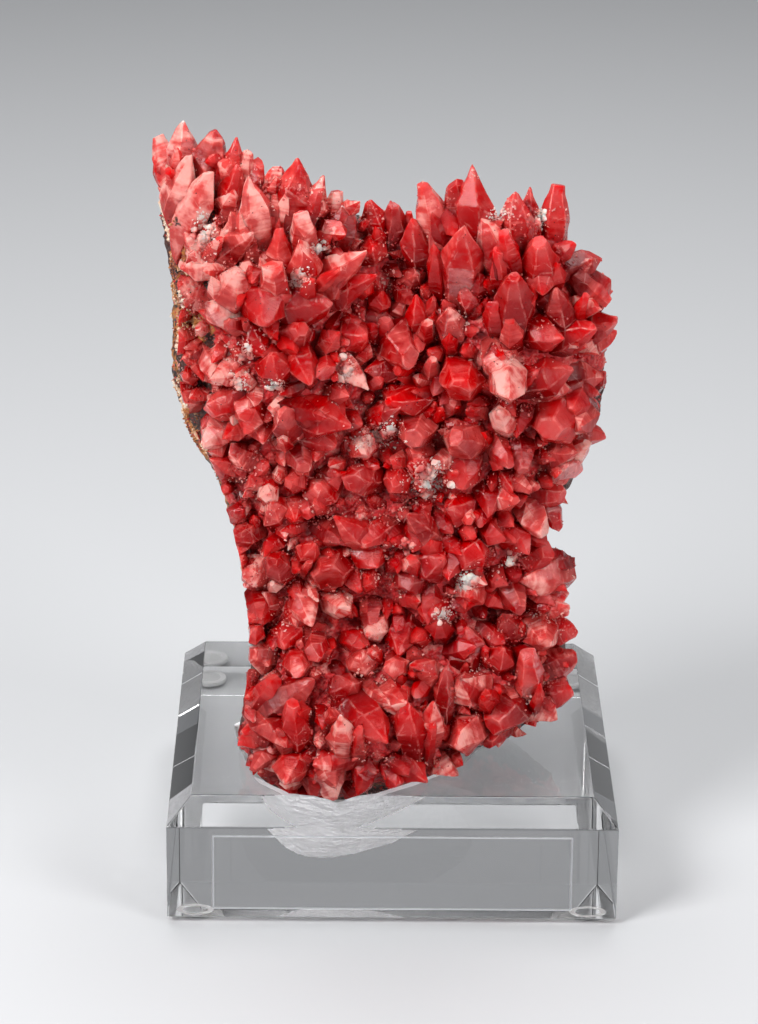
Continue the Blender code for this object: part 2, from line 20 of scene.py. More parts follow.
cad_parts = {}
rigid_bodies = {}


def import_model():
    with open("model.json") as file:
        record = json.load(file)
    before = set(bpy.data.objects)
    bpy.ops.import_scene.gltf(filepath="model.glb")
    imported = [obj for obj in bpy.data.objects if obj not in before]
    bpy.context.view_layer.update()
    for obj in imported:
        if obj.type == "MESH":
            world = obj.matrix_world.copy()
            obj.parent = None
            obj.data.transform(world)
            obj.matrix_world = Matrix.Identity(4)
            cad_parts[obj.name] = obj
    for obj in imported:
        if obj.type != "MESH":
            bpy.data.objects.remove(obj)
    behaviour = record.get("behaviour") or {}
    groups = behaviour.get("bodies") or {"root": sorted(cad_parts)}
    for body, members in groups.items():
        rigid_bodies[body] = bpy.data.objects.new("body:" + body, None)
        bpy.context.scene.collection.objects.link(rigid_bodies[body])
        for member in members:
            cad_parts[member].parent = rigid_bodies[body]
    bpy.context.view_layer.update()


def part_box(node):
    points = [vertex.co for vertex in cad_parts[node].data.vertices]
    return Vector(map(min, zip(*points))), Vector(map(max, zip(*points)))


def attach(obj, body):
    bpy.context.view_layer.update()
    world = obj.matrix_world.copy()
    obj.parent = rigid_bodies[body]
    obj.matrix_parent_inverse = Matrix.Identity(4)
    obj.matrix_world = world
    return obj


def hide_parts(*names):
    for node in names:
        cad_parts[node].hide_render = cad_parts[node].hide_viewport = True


MM = 0.001
LOG = logging.getLogger("rhodochrosite")

CRUST_OUTLINE = [
    (-53, 176), (-49, 181), (-42, 180.5), (-33, 176), (-24, 175), (-16, 171), (-7, 165.5), (2, 164),
    (9, 168), (16, 170), (26, 167), (35, 165.5), (39, 159), (45, 151), (48, 141), (49, 127),
    (46.5, 113), (42, 100), (36.5, 92), (36, 80), (39.5, 69), (41.5, 58), (40.5, 45), (33, 41),
    (24, 37), (12, 31), (0, 27.4), (-12, 24.2), (-22, 24), (-31, 26.6), (-36.4, 32), (-36.6, 44),
    (-33.8, 56), (-34.5, 70), (-37.5, 85), (-41, 99), (-49, 112), (-52.5, 121), (-53, 138),
    (-54, 152), (-55.5, 165),
]

# Swellings (depth below 0) and hollows of the crystal face: x, z, depth, reach in x, reach in z.
LOBES = [
    (-38, 152, -7, 20, 22), (-27, 126, -7, 18, 16), (31, 138, -10, 20, 30), (2, 150, 7, 13, 30),
    (-9, 69, 6, 14, 8), (24, 68, 5, 10, 7), (-10, 42, -11, 26, 14), (28, 52, -3, 14, 14),
]

# Where crystals are cloudier (above 0) or clearer (below 0): x, z, amount, reach in x, reach in z.
CLOUDINESS = [
    (-45, 156, 0.62, 26, 34), (-30, 115, 0.12, 14, 14), (25, 162, -0.3, 30, 16), (12, 88, -0.16, 26, 34),
    (15, 64, -0.15, 16, 14), (-28, 45, 0.1, 15, 15),
    (-31, 145, -1.7, 7, 7), (-14, 150, -1.3, 7, 6), (-20, 138, -0.8, 8, 7), (26.8, 127.5, 1.3, 3, 3), (24, 150, -0.3, 14, 16), (3, 148, -0.2, 7, 18), (-44, 76, 0.15, 14, 30),
]

# Seat rim on the block's top face, seen from above.
SEAT_RIM = [
    (-39.5, -6), (-38, -20), (-34, -37), (-25, -47.2), (-13, -50), (-4, -47), (8, -38), (18, -28),
    (24, -16), (23, -2), (8, 8), (-12, 10), (-31, 5),
]

# The flat broken flank on the left: where the crystals end, x and z as they show.
FLANK = [
    (-56.6, 172.5), (-55.6, 169), (-53.8, 163), (-52.6, 157), (-51.2, 151), (-51.2, 139), (-51.6, 133),
    (-51.4, 127), (-50.4, 121.5), (-48.8, 116), (-45.4, 110), (-42.8, 104), (-41.6, 100), (-39.1, 92),
    (-37.1, 84), (-36.3, 76), (-34.9, 68), (-34.7, 60), (-35.2, 52), (-36.8, 44), (-37.6, 36), (-37.2, 30),
    (-36, 25), (-34, 21), (-80, 21), (-80, 172.5),
]

# Large crystals: tip x, z, root x, z, how far the tip stands out, width, bluntness.
CRYSTALS = [
    # upper left lobe: long blades fanning up and outwards
    (-48, 182, -53, 163, 7, 11, 0.0), (-43, 179, -51, 160, 9, 10, 0.1), (-50, 188.6, -50, 177, 1, 10, 0.2),
    (-56.3, 183.8, -53, 175, -2, 7.5, 0.4), (-57.9, 179.6, -50, 171, 1, 9, 0.2),
    (-42, 187, -45, 175, 1, 10, 0.3), (-37.2, 186, -40, 174, 1, 7, 0.1),
    (-34.8, 183.4, -36, 173, 0, 5.5, 0.5), (-32.2, 181.4, -34, 172, -2, 5.5, 0.5),
    (-36.5, 180, -40, 168, 5, 8, 0.1), (-35, 177, -32, 163, 6, 11.5, 0.1),
    (-28.5, 179, -29, 170, -2, 8, 0.5), (-23, 181.6, -25, 168, 0, 13, 0.1),
    (-17, 177.6, -21, 168, 1, 7.5, 0.2), (-25.5, 174, -27, 164, 5, 6, 0.0),
    (-22.5, 168, -22, 158, 8, 8, 0.6), (-27.5, 167, -27, 153, 7, 9, 0.1), (-22, 162, -22, 150, 9, 11, 0.3),
    (-33, 164.5, -41, 159, 8, 9, 0.2), (-52.5, 154, -42, 156, 4, 9.5, 0.3),
    (-37, 156, -38, 149, 9, 11.5, 0.2), (-29, 158, -29, 148, 12, 9, 0.5),
    (-31, 142.5, -31, 151, 12, 14, 0.1), (-14, 147, -26, 147, 11, 13, 0.1),
    (-6.5, 158.6, -20, 150, 8, 11, 0.1), (-3.5, 152, -17, 149, 9, 9.5, 0.1),
    (-45, 147, -38, 144, 9, 10, 0.2), (-53.5, 149, -46, 148, 3, 10, 0.3), (-50, 163, -45, 158, 6, 9, 0.2),
    (-56.8, 173, -49, 167, 1, 8, 0.2), (-16, 158, -17, 150, 4, 9, 0.2), (-10.5, 171.4, -14, 163, 2, 9, 0.1),
    (-6.9, 171.6, -5, 162, 1, 8, 0.0), (-14.6, 173.4, -15, 166, -2, 7, 0.5), (-1, 169, -1, 160, 2, 9, 0.4),
    # upper right lobe: stout upright teeth
    (17, 179.6, 18, 161, 2, 12, 0.05), (13, 176.8, 14, 163, 0, 7.5, 0.5), (5.5, 174, 10, 161, 2, 10, 0.35),
    (27, 174, 28, 160, 3, 11, 0.15), (30.8, 174.2, 30, 163, -2, 7, 0.2),
    (37.2, 173.4, 36, 159, 1, 9.5, 0.4), (15.2, 165, 15, 150.5, 10, 14, 0.15), (33, 161, 33, 153, 9, 12, 0.4),
    (34, 149, 34, 156, 8, 10, 0.1), (27, 154, 27, 144, 10, 12, 0.3), (19, 168, 24, 157, 5, 11.5, 0.1),
    (3.5, 166.5, 5, 155, 5, 9, 0.1), (7, 166, 14, 155, 4, 10, 0.1), (4.5, 147.5, 5, 137, 7, 9.5, 0.1),
    (9, 148, 7, 140, 5, 7, 0.2), (49, 155.6, 41, 154, 1, 9, 0.1), (51, 143, 44, 150, 3, 11.5, 0.2),
    (37, 151, 38, 142, 8, 10, 0.1), (52.8, 135.5, 45, 136, 2, 8.5, 0.3), (51.5, 147, 43, 145, 3, 9, 0.2),
    (50.2, 126, 42, 128, 3, 9, 0.2), (23, 160, 25, 151, 8, 8, 0.3),
    # middle band
    (3.5, 131, -1, 138, 9, 13, 0.3), (5.3, 135, 5, 139, 7, 4.5, 0.8), (8.5, 132.5, 8, 128, 6, 5.5, 0.4),
    (-8, 130.5, 1, 130, 6, 8, 0.2), (27, 127, 26, 131, 12, 12, 0.55), (42.5, 130, 31, 129, 9, 12, 0.1),
    (15, 126, 15, 130, 10, 14, 0.45), (-2, 122.5, 7, 123, 8, 10, 0.25), (14, 114, 18, 113, 10, 12, 0.4),
    (36, 115, 38, 120, 9, 16.5, 0.4), (24, 121.5, 26, 118, 8, 9, 0.2), (4, 113, 6, 117, 9, 11.5, 0.5),
    (16.8, 100, 15, 109, 8, 12, 0.15), (22.6, 92.6, 22, 102, 7, 9, 0.05), (-2, 101.5, 2, 105, 7, 10, 0.3),
    (12, 96, 17, 96, 7, 10, 0.2), (2, 95.5, 10, 89, 7, 10, 0.1), (41.8, 97, 33, 98, 4, 9, 0.3),
    (39.4, 87.6, 36, 96, 4, 8, 0.3), (50.6, 110.4, 43, 113, 3, 8, 0.4), (50, 118.2, 41, 120, 4, 11.5, 0.2),
    (46, 103, 39, 107, 5, 13, 0.45), (-19.8, 128.3, -24, 138, 9, 11, 0.2), (-17, 131, -17, 134, 8, 7, 0.7),
    (-6, 125.3, -15, 135, 9, 8, 0.0), (-9.6, 117, -23, 122, 9, 13, 0.05),
    (-11.8, 118.6, -15, 125, 8, 6, 0.0), (-46, 119.3, -35, 125, 6, 10, 0.5),
    (-29.5, 137, -28, 131, 9, 10, 0.2), (-26, 122, -25, 118, 9, 10, 0.4), (-31, 113, -32, 119, 8, 9, 0.1),
    (-12.8, 111.6, -21, 117, 7, 9.5, 0.1), (-22, 107, -23, 112, 8, 10, 0.4),
    (-7, 111.5, -9, 113, 7, 9, 0.6), (-13, 103.5, -5, 104, 6, 10, 0.4), (-23.6, 93, -24, 97, 7, 7.5, 0.1),
    (-15, 95, -5, 87, 7, 10, 0.05), (-40, 112, -34, 108, 5, 10, 0.2), (-45.5, 111, -41, 117, 3, 10, 0.3),
    (-36, 101, -32, 105, 5, 10, 0.3), (-30, 99, -27, 94, 6, 9, 0.2), (-41, 128, -44, 133, 5, 9, 0.3),
    # waist and lower ledge
    (-16, 79, -15, 82, 8, 13, 0.5), (-4, 80.5, -7, 86, 7, 10, 0.1), (-6, 76.5, -6, 79, 6, 7.5, 0.4),
    (3, 75, 4, 79, 7, 10, 0.3), (38.6, 84.8, 32, 80, 4, 8.5, 0.4), (30, 76, 38, 77, 5, 11.5, 0.2),
    (41.6, 70, 37, 73, 2, 8, 0.5), (45, 62, 38, 63, 3, 10.5, 0.3), (45, 56, 37, 54, 3, 10, 0.3),
    (42.5, 66.5, 36, 69, 4, 8, 0.3), (37, 60, 35, 64, 7, 11.5, 0.3), (-6.8, 63.5, -3, 66, 6, 9, 0.2),
    (-27, 61, -25, 65, 6, 11.5, 0.2), (-19, 60, -18, 63, 7, 8, 0.6), (-23, 56, -23, 60, 7, 9, 0.3),
    (-1, 58, 2, 57, 7, 7.5, 0.5), (-18.3, 55.8, -30, 47, 7, 11, 0.05), (-24.3, 49.8, -23, 41, 8, 9, 0.4),
    (-24.8, 38, -32, 46, 7, 10, 0.1), (-12.5, 48.5, -12, 41, 9, 9, 0.2), (-1, 41, -10, 50, 9, 13, 0.1),
    (-27.5, 30, -31, 38, 5, 10, 0.2), (-37, 41, -31, 42, 5, 9, 0.3), (-35.5, 33, -29, 36, 5, 9, 0.2),
    (-35.8, 60, -30, 59, 4, 9, 0.3), (-8.5, 28.5, -7, 35, 7, 9, 0.4), (-20, 22.8, -17, 33, 7, 12, 0.15),
    (3, 50.8, 5, 40, 9, 11.5, 0.1), (9.6, 50, 8, 40, 8, 10, 0.1), (12.9, 58.2, 12, 47, 7, 7.5, 0.05),
    (4, 58, 9, 56, 6, 10, 0.1), (16, 54, 20, 50, 8, 12, 0.2), (10.6, 43.6, 6, 46, 9, 7, 0.1),
    (13, 38, 18, 42, 6, 13, 0.6), (24, 42, 29, 47, 6, 12, 0.5), (32.5, 60.5, 33, 47, 8, 9, 0.3),
    (17, 66, 18, 60, 4, 11.5, 0.2), (26, 67, 29, 63, 6, 9, 0.2), (44, 47, 38, 48, 4, 12, 0.4),
    (23, 36.5, 26, 41, 4, 8, 0.4), (-37.6, 80.5, -32, 80, 3, 10, 0.4), (-35.8, 70.5, -30, 72, 3, 9, 0.3),
    (-29, 84, -27, 80, 7, 10, 0.3), (-19, 88, -21, 84, 7, 8, 0.2), (12, 84, 8, 82, 7, 11.5, 0.2),
    (20, 86, 17, 84, 7, 11.5, 0.3), (29, 86, 27, 90, 6, 10, 0.2),
]

# Patches of off-white druse between the crystals: x, z, reach in x, reach in z.
PALE_PATCHES = [
    (7.5, 103.5, 6, 5.5), (17.5, 77.5, 3.5, 3), (-35.3, 136.5, 3, 3), (-4.5, 114.5, 6.5, 4),
    (-18, 160, 3.5, 2), (-23, 153.5, 3.5, 3.5), (-45, 163, 3, 6), (23.5, 168, 3, 2), (29, 82, 2.5, 2.5),
    (-37, 129, 3, 3), (-12, 131, 3, 3), (2, 87, 3, 2), (-28, 129, 3, 2), (33, 166, 1.6, 3), (12, 69, 3, 2),
]


class Layer(Enum):
    """Names of the attributes that crystal meshes carry."""

    CRYSTAL = "crystal"
    # Bevelled edge faces, which the material paints pale: partly worn frosting, partly painted glints.
    CHIP_AND_GLINT = "chip_and_glint"
    FACTS = "facts"
    MOOD = "mood"
    CARVED = "carved"


def linear(hex_colour: str, alpha: float = 1.0) -> tuple[float, float, float, float]:
    """Turns an sRGB hex colour into linear values.

    Args:
        hex_colour: Colour such as "#A0B0C0".
        alpha: Opacity to add.

    Returns:
        Red, green, blue and alpha, linear.
    """
    parts = [int(hex_colour[index : index + 2], 16) / 255.0 for index in (1, 3, 5)]
    lin = [part / 12.92 if part <= 0.04045 else ((part + 0.055) / 1.055) ** 2.4 for part in parts]
    return (*lin, alpha)


def add_node(tree: bpy.types.NodeTree, kind: str, links: dict | None = None, **settings) -> bpy.types.Node:
    """Adds a node with its settings and what feeds its sockets.

    Args:
        tree: Node tree that gets the node.
        kind: Blender's node type name.
        links: Socket name or number to a value, or to another node's output socket.
        **settings: Properties set on the node itself.

    Returns:
        The new node.
    """
    node = tree.nodes.new(kind)
    for name, value in settings.items():
        setattr(node, name, value)
    for socket, value in (links or {}).items():
        if isinstance(value, bpy.types.NodeSocket):
            tree.links.new(value, node.inputs[socket])
        else:
            node.inputs[socket].default_value = value
    return node


def colour_ramp(tree: bpy.types.NodeTree, factor: bpy.types.NodeSocket, stops: list[tuple[float, str]]) -> bpy.types.NodeSocket:
    """Adds a colour ramp.

    Args:
        tree: Node tree that gets the ramp.
        factor: Socket that drives it.
        stops: Positions with their sRGB hex colours, lowest first.

    Returns:
        The ramp's colour socket.
    """
    ramp = add_node(tree, "ShaderNodeValToRGB", {"Fac": factor})
    elements = ramp.color_ramp.elements
    elements[0].position, elements[-1].position = stops[0][0], stops[-1][0]
    for position, _ in stops[1:-1]:
        elements.new(position)
    for element, (_, hex_colour) in zip(elements, stops):
        element.color = linear(hex_colour)
    return ramp.outputs["Color"]


def blend_colours(tree: bpy.types.NodeTree, factor, first, second, mode: str = "MIX") -> bpy.types.NodeSocket:
    """Mixes two colours.

    Args:
        tree: Node tree that gets the mix.
        factor: Share of the second colour, a value or a socket.
        first: First colour, a value or a socket.
        second: Second colour, a value or a socket.
        mode: Blend type.

    Returns:
        The mixed colour's socket.
    """
    mix = add_node(tree, "ShaderNodeMix", {0: factor, 6: first, 7: second}, data_type="RGBA", blend_type=mode)
    return mix.outputs[2]


def sums(tree: bpy.types.NodeTree, operation: str, first, second=0.0, third=0.0, clamp: bool = False) -> bpy.types.NodeSocket:
    """Adds a Math node.

    Args:
        tree: Node tree that gets the node.
        operation: Blender's name of the operation.
        first: First value or socket.
        second: Second value or socket.
        third: Third value or socket.
        clamp: Whether the result is kept between 0 and 1.

    Returns:
        The result's socket.
    """
    node = add_node(tree, "ShaderNodeMath", {0: first, 1: second, 2: third}, operation=operation, use_clamp=clamp)
    return node.outputs[0]


def grain(tree: bpy.types.NodeTree, size_mm: float, detail: float = 2.0, roughness: float = 0.5, stretch=(1, 1, 1)) -> bpy.types.NodeSocket:
    """Adds noise whose blobs are about a given size on the object.

    Args:
        tree: Node tree that gets the noise.
        size_mm: Size of the coarsest blobs in millimetres.
        detail: Octaves of finer noise.
        roughness: How strong the finer octaves are.
        stretch: Scale along each axis.

    Returns:
        The noise's factor socket.
    """
    place = add_node(tree, "ShaderNodeTexCoord").outputs["Object"]
    spot = add_node(tree, "ShaderNodeMapping", {"Vector": place, "Scale": stretch}).outputs[0]
    links = {"Vector": spot, "Scale": 1.0 / (size_mm * MM), "Detail": detail, "Roughness": roughness}
    return add_node(tree, "ShaderNodeTexNoise", links).outputs["Fac"]


def new_material(name: str) -> tuple[bpy.types.Material, bpy.types.NodeTree, bpy.types.Node]:
    """Makes an empty Principled material.

    Args:
        name: Material name.

    Returns:
        The material, its node tree and its Principled node.
    """
    material = bpy.data.materials.new(name)
    material.use_nodes = True
    tree = material.node_tree
    return material, tree, tree.nodes["Principled BSDF"]


def settle(tree: bpy.types.NodeTree, shader: bpy.types.Node, **inputs) -> None:
    """Sets or links the Principled node's sockets.

    Args:
        tree: The material's node tree.
        shader: Its Principled node.
        **inputs: Socket names with underscores for spaces, and values or sockets.
    """
    for name, value in inputs.items():
        socket = shader.inputs[name.replace("_", " ")]
        if isinstance(value, bpy.types.NodeSocket):
            tree.links.new(value, socket)
        else:
            socket.default_value = value


def in_order(bm: bmesh.types.BMesh) -> None:
    """Sorts vertices and faces by place, because some operators leave them in a new order on each run.

    Args:
        bm: The mesh, in millimetres, changed in place.
    """
    bm.verts.sort(key=lambda vertex: round(vertex.co.z, 3) * 1e6 + round(vertex.co.x, 3) * 1e3 + round(vertex.co.y, 3))
    bm.verts.index_update()
    middles = {face: face.calc_center_median() for face in bm.faces}
    bm.faces.sort(key=lambda face: round(middles[face].z, 3) * 1e6 + round(middles[face].x, 3) * 1e3 + round(middles[face].y, 3))
    bm.faces.index_update()


@dataclass(frozen=True)
class Rhodochrosite:
    """Grown manganese carbonate: glassy facets over a see-into body, deep red where clear, salmon where cloudy."""

    # root: darkest red at the foot of each crystal, painted shade where the crystals crowd into the rock.
    root: str = "#7E0003"
    deep: str = "#A80004"
    bright: str = "#D60206"
    salmon: str = "#E25E58"
    milky: str = "#F2B0A6"
    haze: str = "#D8706C"
    # edge: pale pink of the edge and cleavage lines, partly worn frosting and partly painted glints and reflections.
    edge: str = "#F8ACA2"
    cloud_mm: float = 4.0
    speck_mm: float = 1.5

    def build(self) -> bpy.types.Material:
        """Returns the crystals' material."""
        material, tree, shader = new_material("rhodochrosite_crystal")
        facts = add_node(tree, "ShaderNodeAttribute", attribute_name=Layer.FACTS.value)
        parts = add_node(tree, "ShaderNodeSeparateColor", {"Color": facts.outputs["Color"]})
        rise, milk, edge = parts.outputs[0], parts.outputs[1], parts.outputs[2]
        along = sums(tree, "MULTIPLY_ADD", rise, 9.0, sums(tree, "MULTIPLY", facts.outputs["Alpha"], 90.0))
        zone = add_node(tree, "ShaderNodeTexNoise", {"W": along, "Scale": 1.0, "Detail": 3.0}, noise_dimensions="1D")
        veil = self.veil(tree, rise, milk, zone.outputs["Fac"])
        # Darker towards the root than towards the tip: the dark root is painted shade where the crystals crowd into the
        # rock.
        body = colour_ramp(tree, rise, [(0.0, self.root), (0.35, self.deep), (1.0, self.bright)])
        shade = add_node(tree, "ShaderNodeMapRange", {0: facts.outputs["Alpha"], 1: 0.0, 2: 0.5, 3: 0.55, 4: 1.0})
        tone = add_node(tree, "ShaderNodeCombineColor", {0: shade.outputs[0], 1: 0.5, 2: 0.6})
        body = blend_colours(tree, 1.0, body, tone.outputs[0], "MULTIPLY")
        upper = add_node(tree, "ShaderNodeMapRange", {0: rise, 1: 0.45, 2: 0.95, 3: 0.0, 4: 0.4})
        patches = add_node(tree, "ShaderNodeMapRange", {0: grain(tree, 5.0, 2.0), 1: 0.42, 2: 0.6})
        haze = sums(tree, "MULTIPLY", upper.outputs[0], patches.outputs[0])
        body = blend_colours(tree, haze, body, linear(self.haze))
        body = blend_colours(tree, veil, body, linear(self.salmon))
        milkiest = add_node(tree, "ShaderNodeMapRange", {0: veil, 1: 0.55, 2: 1.0, 3: 0.0, 4: 0.85})
        body = blend_colours(tree, milkiest.outputs[0], body, linear(self.milky))
        # Pale bevelled edges: partly worn frosting, partly painted glints along the edges.
        wear_and_glint = add_node(tree, "ShaderNodeMapRange", {0: grain(tree, 2.0, 3.0, 0.6), 1: 0.42, 2: 0.62, 3: 0.0, 4: 0.24})
        body = blend_colours(tree, sums(tree, "MULTIPLY", edge, wear_and_glint.outputs[0]), body, linear(self.edge))
        body = blend_colours(tree, self.cleavage(tree), body, linear(self.edge))
        body = blend_colours(tree, self.specks(tree), body, linear("#2A0E10"))
        frost = add_node(tree, "ShaderNodeMapRange", {0: grain(tree, 1.8, 4.0, 0.7), 1: 0.45, 2: 0.75, 3: 0.02, 4: 0.26})
        heights = sums(tree, "MULTIPLY_ADD", grain(tree, 4.0, 2.0, 0.5), 1.4, grain(tree, 0.8, 3.0, 0.6))
        heights = sums(tree, "MULTIPLY_ADD", zone.outputs["Fac"], 1.2, heights)
        bump = add_node(tree, "ShaderNodeBump", {"Height": heights, "Strength": 0.55, "Distance": 0.5 * MM})
        clear = add_node(tree, "ShaderNodeMapRange", {0: veil, 1: 0.05, 2: 0.9, 3: 0.2, 4: 0.14})
        settle(
            tree, shader, Base_Color=body, Roughness=frost.outputs[0], Normal=bump.outputs[0], IOR=1.6,
            Specular_IOR_Level=0.12, Coat_Weight=0.12, Coat_Roughness=0.04, Coat_IOR=1.45,
            Subsurface_Weight=0.8, Subsurface_Radius=(1.0, 0.12, 0.10), Subsurface_Scale=3.0 * MM,
            Transmission_Weight=clear.outputs[0],
        )
        return material

    def veil(self, tree: bpy.types.NodeTree, rise, milk, zone) -> bpy.types.NodeSocket:
        """Returns how cloudy each place is, from the crystal's own milk, its growth zones and drifting clouds.

        Args:
            tree: The material's node tree.
            rise: Socket of how far up the crystal.
            milk: Socket of how cloudy the crystal is.
            zone: Socket of its growth zones.
        """
        cloud = add_node(tree, "ShaderNodeMapRange", {0: grain(tree, self.cloud_mm, 3.0, 0.5), 1: 0.36, 2: 0.66})
        amount = sums(tree, "MULTIPLY_ADD", cloud.outputs[0], 0.8, sums(tree, "MULTIPLY_ADD", zone, 0.9, -1.08))
        amount = sums(tree, "MULTIPLY_ADD", milk, 1.35, amount)
        amount = sums(tree, "MULTIPLY", amount, sums(tree, "MULTIPLY", milk, 4.5, clamp=True))
        return sums(tree, "MULTIPLY", amount, sums(tree, "MULTIPLY_ADD", rise, 0.55, 0.45), clamp=True)

    def cleavage(self, tree: bpy.types.NodeTree) -> bpy.types.NodeSocket:
        """Returns a mask of thin pale lines where cleavage cracks catch the light.

        Args:
            tree: The material's node tree.
        """
        place = add_node(tree, "ShaderNodeTexCoord").outputs["Object"]
        bend = add_node(tree, "ShaderNodeTexNoise", {"Vector": place, "Scale": 1.0 / (6.0 * MM), "Detail": 1.0})
        spot = add_node(
            tree, "ShaderNodeVectorMath", {0: bend.outputs["Color"], 1: (4.0 * MM,) * 3, 2: place},
            operation="MULTIPLY_ADD",
        )
        cells = add_node(
            tree, "ShaderNodeTexVoronoi", {"Vector": spot.outputs[0], "Scale": 1.0 / (4.2 * MM)},
            feature="DISTANCE_TO_EDGE",
        )
        line = add_node(tree, "ShaderNodeMapRange", {0: cells.outputs["Distance"], 1: 0.0, 2: 0.035, 3: 1.0, 4: 0.0})
        shown = add_node(tree, "ShaderNodeMapRange", {0: grain(tree, 3.0, 2.0), 1: 0.54, 2: 0.7, 3: 0.0, 4: 0.32})
        return sums(tree, "MULTIPLY", line.outputs[0], shown.outputs[0])

    def specks(self, tree: bpy.types.NodeTree) -> bpy.types.NodeSocket:
        """Returns a mask of sparse dark oxide specks, each about a fifth of a millimetre.

        Args:
            tree: The material's node tree.
        """
        place = add_node(tree, "ShaderNodeTexCoord").outputs["Object"]
        cells = add_node(tree, "ShaderNodeTexVoronoi", {"Vector": place, "Scale": 1.0 / (self.speck_mm * MM)})
        near = sums(tree, "LESS_THAN", cells.outputs["Distance"], 0.11)
        chosen = sums(tree, "GREATER_THAN", grain(tree, 9.0, 2.0), 0.56)
        return sums(tree, "MULTIPLY", near, chosen)


@dataclass(frozen=True)
class ManganeseRock:
    """Weathered manganese ore: near-black and granular, crusted with iron oxide, under a skin of red carbonate whose
    dark reds are also painted shade in the gaps between the crystals.
    """

    black: str = "#17181B"
    brown: str = "#4A2014"
    ochre: str = "#B06A2C"
    sand: str = "#C9A27A"
    # Skin red, kept dark partly as painted shade in the gaps between the crystals.
    skin_and_gap_shade: str = "#BC0A12"
    skin_pale: str = "#CE7C74"

    def build(self) -> bpy.types.Material:
        """Returns the rock's material."""
        material, tree, shader = new_material("manganese_ore")
        coarse = grain(tree, 26.0, 6.0, 0.62)
        fine = grain(tree, 4.0, 5.0, 0.7)
        mixed = sums(tree, "MULTIPLY_ADD", fine, 0.45, sums(tree, "MULTIPLY", coarse, 0.75))
        stops = [(0.5, self.black), (0.58, self.brown), (0.64, self.black), (0.69, self.ochre), (0.78, self.sand)]
        ore = colour_ramp(tree, mixed, stops)
        place = add_node(tree, "ShaderNodeTexCoord").outputs["Object"]
        cells = add_node(tree, "ShaderNodeTexVoronoi", {"Vector": place, "Scale": 1.0 / (1.1 * MM)})
        fleck = sums(tree, "MULTIPLY", sums(tree, "LESS_THAN", cells.outputs["Distance"], 0.2), 0.5)
        ore = blend_colours(tree, fleck, ore, linear("#8F8A84"))
        # Red carbonate skin, its dark stops partly painted shade in the gaps between the crystals.
        skin_and_gap_shade = colour_ramp(tree, fine, [(0.39, "#860206"), (0.52, self.skin_and_gap_shade), (0.68, self.skin_pale)])
        facts = add_node(tree, "ShaderNodeAttribute", attribute_name=Layer.FACTS.value)
        cover = sums(tree, "MULTIPLY_ADD", sums(tree, "SUBTRACT", fine, 0.5), 1.6, facts.outputs["Fac"])
        cover = add_node(tree, "ShaderNodeMapRange", {0: cover, 1: 0.45, 2: 0.55}).outputs[0]
        body = blend_colours(tree, cover, ore, skin_and_gap_shade)
        heights = sums(tree, "MULTIPLY_ADD", fine, 0.6, cells.outputs["Distance"])
        bump = add_node(tree, "ShaderNodeBump", {"Height": heights, "Strength": 0.6, "Distance": 0.8 * MM})
        gloss = add_node(tree, "ShaderNodeMapRange", {0: fine, 1: 0.4, 2: 0.7, 3: 0.42, 4: 0.85})
        settle(tree, shader, Base_Color=body, Roughness=gloss.outputs[0], Normal=bump.outputs[0])
        return material


@dataclass(frozen=True)
class LimoniteCrust:
    """Earthy iron oxide: ochre to tan grains, rusty in places, over black ore."""

    ochre: str = "#B4743A"
    tan: str = "#D8B294"
    cream: str = "#EADCC8"
    rust: str = "#8E4630"
    ore: str = "#1B1C1F"

    def build(self) -> bpy.types.Material:
        """Returns the crust's material."""
        material, tree, shader = new_material("limonite_crust")
        patch = sums(tree, "MULTIPLY_ADD", grain(tree, 9.0, 3.0), 0.8, sums(tree, "MULTIPLY", grain(tree, 1.2, 2.0), 0.25))
        stops = [(0.4, self.ore), (0.45, self.rust), (0.5, self.ochre), (0.55, self.tan), (0.6, self.cream), (0.66, self.rust)]
        gloss = add_node(tree, "ShaderNodeMapRange", {0: grain(tree, 2.0), 1: 0.4, 2: 0.65, 3: 0.25, 4: 0.8})
        bump = add_node(tree, "ShaderNodeBump", {"Height": grain(tree, 0.5, 2.0), "Strength": 0.5, "Distance": 0.3 * MM})
        settle(tree, shader, Base_Color=colour_ramp(tree, patch, stops), Roughness=gloss.outputs[0], Normal=bump.outputs[0])
        return material


@dataclass(frozen=True)
class Druse:
    """Sugary crust of tiny crystals, soft because light wanders in it, its shade drifting from place to place."""

    name: str
    shades: tuple[str, str, str, str]

    def build(self) -> bpy.types.Material:
        """Returns the druse's material."""
        material, tree, shader = new_material(self.name)
        tone = colour_ramp(tree, grain(tree, 5.0, 3.0), list(zip((0.38, 0.48, 0.56, 0.66), self.shades)))
        settle(
            tree, shader, Base_Color=tone, Roughness=0.45, Subsurface_Weight=0.7,
            Subsurface_Radius=(1.0, 0.5, 0.4), Subsurface_Scale=1.4 * MM,
        )
        return material


@dataclass(frozen=True)
class PolishedAcrylic:
    """Cast acrylic, flame-clear and polished: see-through."""

    roughness: float = 0.0

    def build(self) -> bpy.types.Material:
        """Returns the clear block's material."""
        material, tree, shader = new_material("polished_acrylic")
        settle(tree, shader, Base_Color=(1, 1, 1, 1), Roughness=self.roughness, IOR=1.49, Transmission_Weight=1.0)
        return material


